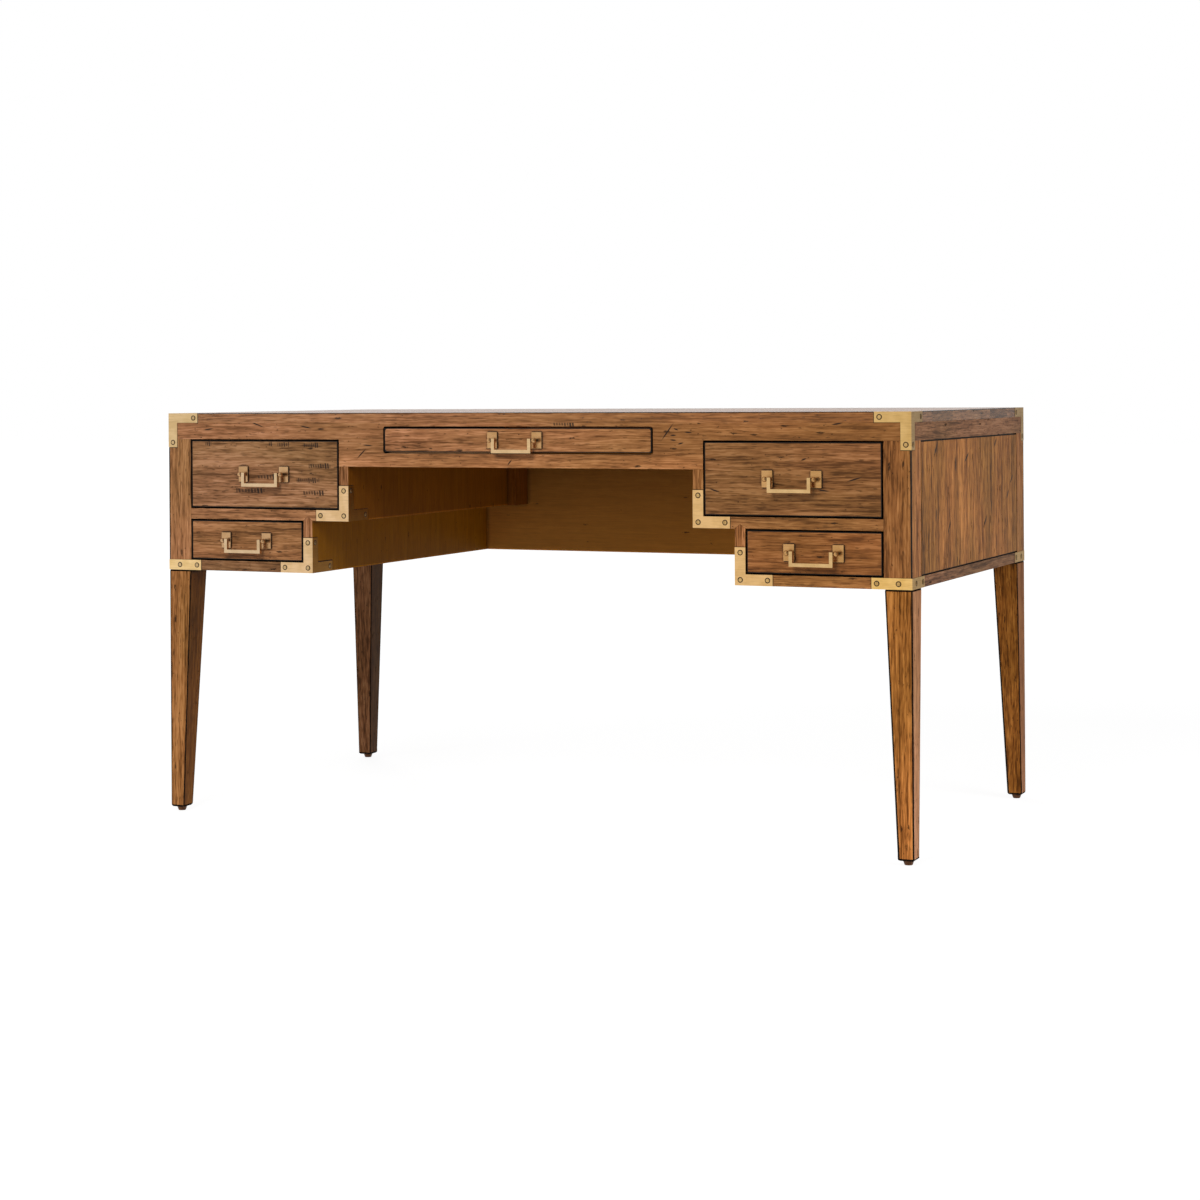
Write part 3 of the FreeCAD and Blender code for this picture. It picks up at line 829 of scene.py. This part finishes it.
def knee_seams(level):
    """Joint lines of the step bracket on a knee panel."""
    low, high = step_boxes[level]
    half_size = (high.x - low.x, seam_half)

    def seams(tree, place):
        end = joint_line(tree, "end", place, (low.x, high.z), half_size)
        return [end, *wing_seams(tree, place, low, high)]

    return seams


def knee_edge_highlight(panel):
    """A painted highlight along the lower edge of a knee panel, where it catches the light."""
    low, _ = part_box("right_" + panel)
    return lambda tree, place: arris_mask(tree, place, "y", low.x, low.z, highlight_width)


def back_edge_highlight(tree, place):
    """A painted highlight along the lower edge of the back panel, where it catches the light."""
    return arris_mask(tree, place, "x", back_panel_low.y, back_panel_low.z, highlight_width)


def leg_burns(tree, place):
    """Burnt outer corners of the legs."""
    corners = ((front_leg_high.x, front_leg_low.y), (back_leg_high.x, back_leg_high.y))
    return [arris_mask(tree, place, "z", x, y, corner_burn) for x, y in corners]


def lined_leg_burns(tree, place):
    """Burnt outer corners, and a burnt line down the tapered inner edge of the front."""
    x, _, z = split(tree, place)
    points = [vertex.co for vertex in nodes["right_front_leg"].data.vertices]
    ends = [min(p.x for p in points if abs(p.z - level) < weld_distance) for level in leg_levels]
    up = maths(tree, "DIVIDE", minus(tree, z, leg_levels[0]), leg_levels[1] - leg_levels[0])
    edge = scaled(tree, up, ends[1] - ends[0], ends[0])
    line = eased(tree, minus(tree, x, edge), inner_burn, inner_burn * burn_core_share)
    return leg_burns(tree, place) + [product(tree, line, faces(tree, "front"))]


def top_marks(tree, place):
    """Burnt upper edges of the desktop, and the brackets' ends on it."""
    lines = [arris_mask(tree, place, "x", y, top_z, top_burn) for y in (front_y, back_y)]
    lines.append(arris_mask(tree, place, "y", half_width, top_z, top_burn))
    return lines + bracket_seams(tree, place)


# Plain wood of the drawer boxes and runners
box_stops = [(0.3, (0.30, 0.17, 0.08)), (0.5, (0.42, 0.26, 0.13)), (0.7, (0.52, 0.34, 0.19))]
box_band_scale = (2.0, 55.0, 55.0)
box_fibre_scale = (12.0, 400.0, 400.0)
fibre_range = (0.3, 0.7)
fibre_shades = (0.84, 1.12)
fibre_roughness = (0.72, 0.56)
# Painted shade inside the case: how far the occlusion looks and where it counts
case_shade_distance = 0.03
case_shade_range = (0.55, 0.25)
box_bump = {"strength": 0.4, "depth": 0.0004}
plain_mirror = 0.3


def drawer_box_wood():
    """Paler plain wood of the drawer boxes and runners, with painted shade where the case closes in around
    them.
    """
    material, tree, shader = new_material("drawer_box_wood")
    x, y, z = split(tree, object_place(tree))
    grain = join(tree, y, x, z)
    bands = noise(tree, times(tree, grain, box_band_scale), full_detail, layer_roughness)
    fibres = noise(tree, times(tree, grain, box_fibre_scale), soft_detail)
    shade = eased(tree, fibres, *fibre_range, *fibre_shades)
    colour = shaded(tree, colour_ramp(tree, bands, box_stops), shade)
    # Painted shade: darker where the case closes in
    shut_in_shade = eased(tree, open_sky(tree, case_shade_distance), *case_shade_range)
    fill_sockets(tree, shader, {
        "Base Color": mixed(tree, shut_in_shade, colour, dark_marks_and_shade),
        "Roughness": eased(tree, fibres, *fibre_range, *fibre_roughness),
        "Specular IOR Level": plain_mirror,
        "Normal": bumped(tree, fibres, **box_bump),
    })
    return material


# Brass: light and dark colour of each kind
brass_colours = {
    "mount": ((0.60, 0.35, 0.155), (0.50, 0.275, 0.11)),
    "bail": ((0.73, 0.50, 0.265), (0.62, 0.41, 0.20)),
    "corner": ((0.75, 0.505, 0.225), (0.66, 0.43, 0.175)),
    "strap": ((0.92, 0.61, 0.25), (0.80, 0.51, 0.18)),
    "step": ((0.83, 0.54, 0.26), (0.73, 0.46, 0.20)),
    "screw": ((0.70, 0.48, 0.22), (0.54, 0.34, 0.13)),
}
brush_scale = (40.0, 40.0, 1500.0)
cloud_scale = (45.0, 45.0, 45.0)
brush_range = (0.3, 0.7)
brush_shades = (0.90, 1.06)
cloud_range = (0.35, 0.70)
# Painted shade of the pulls' castings: its colour, where the occlusion counts, how far it looks and how dark
# it gets
painted_mount_shade = (0.020, 0.011, 0.004)
mount_shade_range = (0.80, 0.35)
mount_shade_distance = 0.008
mount_shade_depth = 0.9
# Where the painted shade of the stems starts and ends in front of the drawer, its soft edge and its depth
stem_start = 0.0031
stem_end = 0.0115
stem_edge = 0.0004
stem_depth = 0.92
brush_bump = {"strength": 0.25, "depth": 0.0001}
brush_rough_shares = (1.15, 0.85)
satin = 0.36
polished = 0.17
mount_satin = 0.27
# Painted shade on brass faces to the sides: the step brackets' wings in the knee, and the screws facing the
# sides
knee_side_shade_tone = (0.50, 0.34, 0.08)
screw_side_shade_tone = (0.55, 0.45, 0.30)


def stem_shade(tree, place):
    """Painted shade on the pulls' stems, between plate and ball."""
    ahead = minus(tree, front_y, split(tree, place)[1])
    before_plate = eased(tree, ahead, stem_start, stem_start + stem_edge)
    behind_ball = eased(tree, ahead, stem_end + stem_edge, stem_end)
    return product(tree, before_plate, behind_ball, stem_depth)


def brass(kind, roughness=satin, side_lighting_tone=plain_tone, shade_depth=0.0):
    """Brushed brass: fine level brush lines and cloudy tone. side_lighting_tone is the tone of the faces to
    the sides, which paints shade on them where it is given; shade_depth is how dark the painted shade is in
    the corners of a pull's casting and on its stems."""
    material, tree, shader = new_material(kind + "_brass")
    place = object_place(tree)
    light, dark = brass_colours[kind]
    brush = noise(tree, times(tree, place, brush_scale), soft_detail)
    clouds = noise(tree, times(tree, place, cloud_scale), mid_detail)
    colour = mixed(tree, eased(tree, clouds, *cloud_range), light, dark)
    # Brush lines, and painted light: cooler at the left end of the desk, warmer at the right
    colour = tinted_by_light(tree, shaded(tree, colour, eased(tree, brush, *brush_range, *brush_shades)), place)
    # Painted shade: faces to the sides darkened by the side tone
    colour = mixed(tree, faces(tree, "side"), colour, times(tree, colour, side_lighting_tone))
    # Painted shade: darker in the corners of a pull's casting and on its stems
    if shade_depth:
        corner_shade = eased(tree, open_sky(tree, mount_shade_distance), *mount_shade_range, 0.0, shade_depth)
        shaded_places = greatest(tree, [corner_shade, stem_shade(tree, place)])
        colour = mixed(tree, shaded_places, colour, painted_mount_shade)
    fill_sockets(tree, shader, {
        "Base Color": colour,
        "Roughness": eased(tree, brush, *brush_range, *(roughness * share for share in brush_rough_shares)),
        "Metallic": 1.0,
        "Normal": bumped(tree, brush, **brush_bump),
    })
    return material


# Plain finishes: light and dark colour, speckles in a metre, and roughness
speckles = {
    "glide_plastic": ((0.20, 0.070, 0.016), (0.10, 0.034, 0.009), 400.0, 0.5),
    "bolt_steel": ((0.45, 0.45, 0.46), (0.30, 0.30, 0.31), 300.0, 0.4),
    "burnished_arris": ((0.030, 0.016, 0.009), (0.008, 0.005, 0.004), 260.0, 0.8),
    # Painted shade: the dark of the countersink around each screw head
    "countersink_shade": ((0.040, 0.022, 0.009), (0.015, 0.009, 0.005), 500.0, 0.6),
}
speckle_bump = {"strength": 0.3, "depth": 0.0002}
speckle_rough_shares = (1.2, 0.8)
burnished_mirror = 0.03


def speckled(name, metallic=0.0, mirror=plain_mirror):
    """A plain material with a fine speckle in tone and gloss."""
    material, tree, shader = new_material(name)
    light, dark, scale, roughness = speckles[name]
    grains = noise(tree, times(tree, object_place(tree), (scale, scale, scale)), mid_detail)
    roughs = [roughness * share for share in speckle_rough_shares]
    fill_sockets(tree, shader, {
        "Base Color": mixed(tree, eased(tree, grains, *patch_range), dark, light),
        "Roughness": eased(tree, grains, *patch_range, *roughs),
        "Specular IOR Level": mirror,
        "Metallic": metallic,
        "Normal": bumped(tree, grains, **speckle_bump),
    })
    return material


# Which finish each piece has: tones, some of them painted light and shade as noted, and how much wear and how
# calm each kind of board has
drawer_tones = {
    "left_upper": (0.87, 0.97, 1.12),
    "left_lower": (0.98, 0.99, 1.04),
    "centre": (1.06, 1.12, 1.30),
    "right_upper": (0.88, 0.96, 1.16),
    "right_lower": (0.89, 0.86, 0.84),
}
drawer_calm = -0.05
drawer_wear = 0.5
drawer_marks = {"left_upper": upper_left_marks, "right_upper": upper_right_marks}
frame_tone = (1.05, 1.10, 1.24)
frame_calm = 0.2
apron_wear = 1.0
top_gloss = 0.5
side_frame_tone = (0.66, 0.78, 1.18)
side_frame_calm = 0.0
post_tone = (1.02, 1.06, 1.08)
post_wear = 0.9
shelf_tone = (1.07, 1.14, 1.28)
base_tones = {"left": (0.685, 0.765, 0.83), "right": (1.155, 1.24, 1.245)}
side_panel_tone = (0.985, 1.0, 0.81)
side_panel_calm = -0.25
back_tone = (1.65, 1.72, 0.90)
# Painted shade: the knee panels' inner faces are tinted dark and blue-less as in deep shade, the upper ones
# darker
knee_shade_tones = {"upper": (1.00, 0.80, 0.10), "lower": (1.38, 1.29, 0.12)}
# Painted shade: the rear corner blocks are darkened and blue-less, as the shade of their recess
block_shade_tone = (0.9, 0.7, 0.2)
block_calm = 0.7
block_wear = 0.0
knee_end_tones = {"left": (1.0, 1.05, 1.20), "right": (1.18, 1.24, 1.45)}
knee_calm = 0.80
knee_dents = 0.3
# Painted light and shade on the back panel: lighter at the bottom, darker at the top
back_painted_shades = (1.40, 0.62)
back_calm = 0.88
back_dents = 0.1
lit_rail_height = 0.041
lit_rail_shades = (1.24, 1.0)
# Painted light and shade in the legs' tones: the back legs and the left legs' inner sides are darkened, the
# right legs' faces brightened, as the light falls
leg_tones_with_painted_light = {
    "left_front": ((0.97, 0.945, 0.73), (0.80, 0.69, 0.32)),
    "right_front": ((1.56, 1.49, 1.19), (1.72, 2.03, 3.35)),
    "left_back": ((0.76, 0.76, 0.80), (0.42, 0.40, 0.25)),
    "right_back": ((1.27, 1.20, 0.75), (1.16, 1.15, 1.40)),
}
leg_calm = -0.10
leg_side_calm = 0.3
leg_wear = 1.0
# Painted light and shade on the legs: lighter towards the floor, darker at the top
leg_painted_shades = (1.14, 0.90)
leg_mirror = 0.10
shaded_wood = {"corner_shade": 0.35, "mirror": 0.08}


def dress(node, material):
    nodes[node].data.materials[0] = material


def dress_frame():
    side = ("side", side_frame_tone, side_frame_calm)
    dress_wood(
        "desktop", "frame", frame_tone, top_marks, shift=frame_shift, face_tone=side, gloss=top_gloss,
        calm=frame_calm, staved=True,
    )
    lit_rail = (front_apron_low.z, front_apron_low.z + lit_rail_height, *lit_rail_shades)
    dress_wood(
        "front_apron", "x", frame_tone, apron_marks, apron_wear, frame_shift, calm=frame_calm, painted_light_fade=lit_rail,
    )
    dress_wood("back_apron", "x", frame_tone, bracket_seams, shift=frame_shift, calm=frame_calm)
    inner = ("front", back_tone, back_calm)
    painted_light_fade = (back_panel_low.z, back_panel_high.z, *back_painted_shades)
    dress_wood(
        "back_panel", "x", frame_tone, None, back_dents, face_tone=inner, edge_highlight=back_edge_highlight, painted_light_fade=painted_light_fade,
        **shaded_wood,
    )
    dress_wood("corner_posts", "z", post_tone, post_seams, post_wear)
    dress_wood("rear_corner_blocks", "z", block_shade_tone, None, block_wear, calm=block_calm, **shaded_wood)


def dress_pedestals():
    base_side = ("side", side_frame_tone, side_frame_calm)
    for side in sides:
        dress_wood(side + "_apron", "y", side_frame_tone, bracket_seams, shift=frame_shift)
        dress_wood(side + "_side_panel", "z", side_panel_tone, side_panel_marks, calm=side_panel_calm)
        dress_wood(side + "_base", "frame", base_tones[side], base_seams, face_tone=base_side)
        dress_wood(side + "_step_shelf", "x", shelf_tone, shelf_seams)
        for level, tone in knee_shade_tones.items():
            knee = f"{level}_knee_panel"
            inner = ("side", tone, knee_calm)
            dress_wood(
                f"{side}_{knee}", "z", knee_end_tones[side], knee_seams(level), knee_dents,
                face_tone=inner, edge_highlight=knee_edge_highlight(knee), **shaded_wood,
            )


def dress_legs():
    for leg, (tone, side_lighting_tone) in leg_tones_with_painted_light.items():
        side = ("side", side_lighting_tone, leg_side_calm)
        burns = lined_leg_burns if leg.startswith("right") else leg_burns
        dress_wood(
            leg + "_leg", "z", tone, burns, leg_wear, face_tone=side, calm=leg_calm, mirror=leg_mirror,
            painted_light_fade=(*leg_levels, *leg_painted_shades),
        )


def front_marks(drawer):
    """The blackened rim of a drawer front, with the marks that it has."""
    low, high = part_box(drawer + "_drawer_front")
    radius = round_corner if drawer == "centre" else square_corner
    marks = drawer_marks.get(drawer)

    def rim_and_marks(tree, place):
        rim = rim_mask(tree, front_flat(tree, place), low.xz, high.xz, radius)
        near_front = eased(tree, split(tree, place)[1], low.y + rim_depth, low.y + rim_depth / 2)
        found = marks(tree, place) if marks else []
        return found + [product(tree, rim, near_front)]

    return rim_and_marks


def dress_drawers():
    for drawer, tone in drawer_tones.items():
        node = drawer + "_drawer_front"
        dress_wood(node, "x", tone, front_marks(drawer), drawer_wear, calm=drawer_calm)


def dress_rest():
    box_wood = drawer_box_wood()
    mount_brass = brass("mount", mount_satin, shade_depth=mount_shade_depth)
    bail_brass = brass("bail", polished)
    for drawer in drawer_tones:
        for piece in ("drawer_sides", "drawer_back", "drawer_bottom"):
            dress(f"{drawer}_{piece}", box_wood)
        dress(drawer + "_pull_mounts", mount_brass)
        dress(drawer + "_pull_bail", bail_brass)
    dress("drawer_runners", box_wood)
    dress("centre_bearers", box_wood)
    dress("top_corner_brackets", brass("corner"))
    dress("base_straps", brass("strap"))
    dress("step_brackets", brass("step", side_lighting_tone=knee_side_shade_tone))
    dress("foot_glides", speckled("glide_plastic"))
    dress("leg_bolts", speckled("bolt_steel", metallic=1.0))


def soften(node, width, arris=None, clamped=True):
    """Rounds the sharp edges of a piece, as sanding or tumbling would, with its own finish if one is given.
    A clamped arris is never wider than the piece's small features."""
    piece = nodes[node]
    weld = piece.modifiers.new("weld", "WELD")
    weld.merge_threshold = weld_distance
    flat = piece.modifiers.new("flat", "DECIMATE")
    flat.decimate_type = "DISSOLVE"
    flat.angle_limit = flat_angle
    bevel = piece.modifiers.new("arris", "BEVEL")
    bevel.width = width
    bevel.segments = arris_segments
    bevel.limit_method = "ANGLE"
    bevel.angle_limit = sharp_angle
    bevel.harden_normals = True
    bevel.use_clamp_overlap = clamped
    if arris:
        piece.data.materials.append(arris)
        bevel.material = len(piece.data.materials) - 1


def soften_all():
    burnished = speckled("burnished_arris", mirror=burnished_mirror)
    for board in ("desktop", "front_apron", "back_apron", "left_apron", "right_apron"):
        soften(board, frame_arris)
    for board in ("back_panel", "corner_posts", "rear_corner_blocks"):
        soften(board, board_arris)
    for side in sides:
        for board in ("side_panel", "base", "step_shelf", "upper_knee_panel", "lower_knee_panel"):
            soften(f"{side}_{board}", board_arris)
        for end in ("front", "back"):
            soften(f"{side}_{end}_leg", leg_arris, burnished, clamped=False)
    for drawer in drawer_tones:
        soften(drawer + "_drawer_front", drawer_arris, burnished)
        soften(drawer + "_pull_bail", bail_arris)
    for plate in ("top_corner_brackets", "base_straps", "step_brackets"):
        soften(plate, plate_arris)


# Slotted screws

def screw_head(points):
    """Middle of a screw head's seat, the way it faces, its radius and its height, from its solid's points."""
    low, high = box_of(points)
    size = high - low
    axis = max(range(3), key=lambda each: size[each])
    radius = max(size[other] for other in range(3) if other != axis) / 2
    middle = (low + high) / 2
    outer = [p[axis] for p in points if off_axis(p - middle, axis) > radius * crown_share]
    seat, crown = min(outer), max(outer)
    facing = Vector((0, 0, 0))
    facing[axis] = 1 if (seat + crown) / 2 > middle[axis] else -1
    middle[axis] = seat if facing[axis] > 0 else crown
    return middle, facing, radius, crown - seat


def off_axis(offset, axis):
    """How far an offset leads away from an axis."""
    return math.hypot(*(offset[other] for other in range(3) if other != axis))


def closed_band(mesh, turn, ends, material):
    """A closed solid between two like outlines, each with its height, turned onto the screw's face."""
    lower, upper = (
        [mesh.verts.new(turn @ Vector((x, y, height))) for x, y in outline] for outline, height in ends
    )
    faces_made = [mesh.faces.new(upper), mesh.faces.new(list(reversed(lower)))]
    for i, corner in enumerate(lower):
        after = (i + 1) % len(lower)
        faces_made.append(mesh.faces.new((corner, lower[after], upper[after], upper[i])))
    for face in faces_made:
        face.material_index = material


def arc(radius, start, sweep, count):
    """Points on an arc, spaced by steps of a sweep."""
    angles = [start + sweep * i / arc_steps for i in range(count)]
    return [(radius * math.cos(angle), radius * math.sin(angle)) for angle in angles]


def circle(radius):
    return arc(radius, 0.0, math.pi, 2 * arc_steps)


def cap_outline(radius, side):
    """Half a disc, cut back to one side of the slot."""
    start = math.asin(slot_width / 2 / radius)
    turned = 0.0 if side > 0 else math.pi
    return arc(radius, turned + start, math.pi - 2 * start, arc_steps + 1)


def slotted_screws():
    """Every bracket screw: a dark rim disc painted as the shade of its countersink, a head and the two halves
    of its slotted crown.
    """
    mesh = bmesh.new()
    for points in loose_parts(nodes["bracket_screws"].data):
        middle, facing, radius, height = screw_head(points)
        spin = Matrix.Rotation(seeded.uniform(0.0, math.pi), 4, "Z")
        turn = Matrix.Translation(middle) @ facing.to_track_quat("Z", "Y").to_matrix().to_4x4() @ spin
        rim = circle(screw_rim_radius)
        # A dark disc under the head, painted as the shade of the countersink
        closed_band(mesh, turn, ((rim, 0.0), (rim, screw_rim_height)), rim_slot)
        base = circle(radius)
        closed_band(mesh, turn, ((base, screw_rim_height), (base, screw_base_height)), head_slot)
        for side in (1, -1):
            lower = (cap_outline(radius, side), screw_base_height)
            upper = (cap_outline(screw_top_radius, side), height)
            closed_band(mesh, turn, (lower, upper), head_slot)
    made = bpy.data.meshes.new("slotted_screws")
    mesh.to_mesh(made)
    mesh.free()
    made.materials.append(brass("screw", side_lighting_tone=screw_side_shade_tone))
    made.materials.append(speckled("countersink_shade"))
    screws = new_object("slotted_screws", made)
    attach(screws, "desk")
    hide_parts("bracket_screws")


# Studio

floor_half = 30.0
shadow_range = (1.6, 4.5)
shadow_share = 0.15
floor_grey = (0.45, 0.45, 0.45)
ambient = 0.27
sky_range = (0.0, 0.6)
horizon_light = 0.35
white = (1.0, 1.0, 1.0)
dim_range = (-0.35, 0.50)
dim_share = 0.64
glow = 1.08
shine = (0.95, 0.40)
shine_range = (0.8, 1.6)


def seen_by(tree, *rays):
    """1 for the kinds of ray that are named."""
    path = add_node(tree, "LightPath").outputs
    return greatest(tree, [path[f"Is {ray} Ray"] for ray in rays])


def either(tree, share, first, second):
    """Between two shaders."""
    return add_node(tree, "MixShader", {0: share, 1: first, 2: second}).outputs[0]


def matt(tree, colour):
    return add_node(tree, "BsdfDiffuse", {"Color": colour}).outputs[0]


def bright(tree, kind, strength):
    """White light of one strength, from a surface or from the world."""
    return add_node(tree, kind, {"Color": white, "Strength": strength}).outputs[0]


def studio_floor():
    """White to the camera, with the desk's shadow close to it, and grey for the light it throws back."""
    corners = ((-1, -1), (1, -1), (1, 1), (-1, 1))
    mesh = bpy.data.meshes.new("studio_floor")
    mesh.from_pydata([(x * floor_half, y * floor_half, 0.0) for x, y in corners], [], [(0, 1, 2, 3)])
    material, tree, shader = new_material("studio_floor")
    tree.nodes.remove(shader)
    share = eased(tree, size_of(tree, object_place(tree)), *shadow_range, shadow_share, 0.0)
    shown = either(tree, share, bright(tree, "Emission", glow), matt(tree, white))
    x = split(tree, object_place(tree))[0]
    mirrored = bright(tree, "Emission", eased(tree, x, *shine_range, *shine))
    reflected = either(tree, seen_by(tree, "Glossy"), matt(tree, floor_grey), mirrored)
    both = either(tree, seen_by(tree, "Camera", "Transmission"), reflected, shown)
    tree.links.new(both, tree.nodes["Material Output"].inputs["Surface"])
    mesh.materials.append(material)
    floor = new_object("studio_floor", mesh)


def studio_world():
    """White to the camera, dimmer to the right in reflections, with soft light mostly from above."""
    world = bpy.data.worlds.new("studio")
    world.use_nodes = True
    tree = world.node_tree
    tree.nodes.clear()
    x, _, z = split(tree, add_node(tree, "TexCoord").outputs["Generated"])
    dim = product(tree, eased(tree, x, *dim_range, 0.0, dim_share), seen_by(tree, "Glossy"))
    shown = bright(tree, "Background", minus(tree, 1.0, dim))
    lit = bright(tree, "Background", eased(tree, z, *sky_range, ambient * horizon_light, ambient))
    both = either(tree, seen_by(tree, "Camera", "Glossy", "Transmission"), lit, shown)
    add_node(tree, "OutputWorld", {"Surface": both})
    bpy.context.scene.world = world


# Lamps: place, what they aim at, width, height and watts
lamps = {
    "key_light": ((-0.05, -3.4, 2.7), (-0.05, -0.3, 0.45), 1.5, 1.1, 79.0),
    "left_light": ((-2.3, -2.6, 0.95), (-0.5, -0.3, 0.55), 0.8, 0.8, 21.0),
    "side_light": ((2.2, -0.3, 1.05), (0.76, 0.0, 0.35), 0.9, 0.9, 16.5),
    "back_light": ((-2.2, 2.6, 2.2), (-0.3, 0.3, 0.5), 1.6, 1.4, 40.0),
}


def softbox(name, place, aim, width, height, watts):
    """A rectangular lamp that lights the matt part of surfaces and isn't mirrored in them."""
    lamp = bpy.data.lights.new(name, "AREA")
    lamp.shape = "RECTANGLE"
    lamp.size = width
    lamp.size_y = height
    lamp.energy = watts
    box = new_object(name, lamp)
    box.location = place
    box.rotation_euler = (Vector(aim) - Vector(place)).to_track_quat("-Z", "Y").to_euler()
    box.visible_camera = False
    box.visible_glossy = False


def studio_lights():
    for name, facts in lamps.items():
        softbox(name, *facts)


def photo_camera():
    lens = bpy.data.cameras.new("photo_camera")
    lens.sensor_width = sensor_width
    lens.lens = focal_pixels / photo_pixels * sensor_width
    lens.shift_y = (horizon_row - photo_pixels / 2) / photo_pixels
    camera = new_object("photo_camera", lens)
    level = Matrix.Rotation(camera_yaw, 4, "Z") @ Matrix.Rotation(math.pi / 2, 4, "X")
    camera.matrix_world = Matrix.Translation(camera_place) @ level @ Matrix.Rotation(camera_roll, 4, "Z")
    bpy.context.scene.camera = camera


dress_frame()
dress_pedestals()
dress_legs()
dress_drawers()
dress_rest()
soften_all()
slotted_screws()
studio_floor()
studio_world()
studio_lights()
photo_camera()
bpy.context.scene.view_settings.view_transform = "Standard"
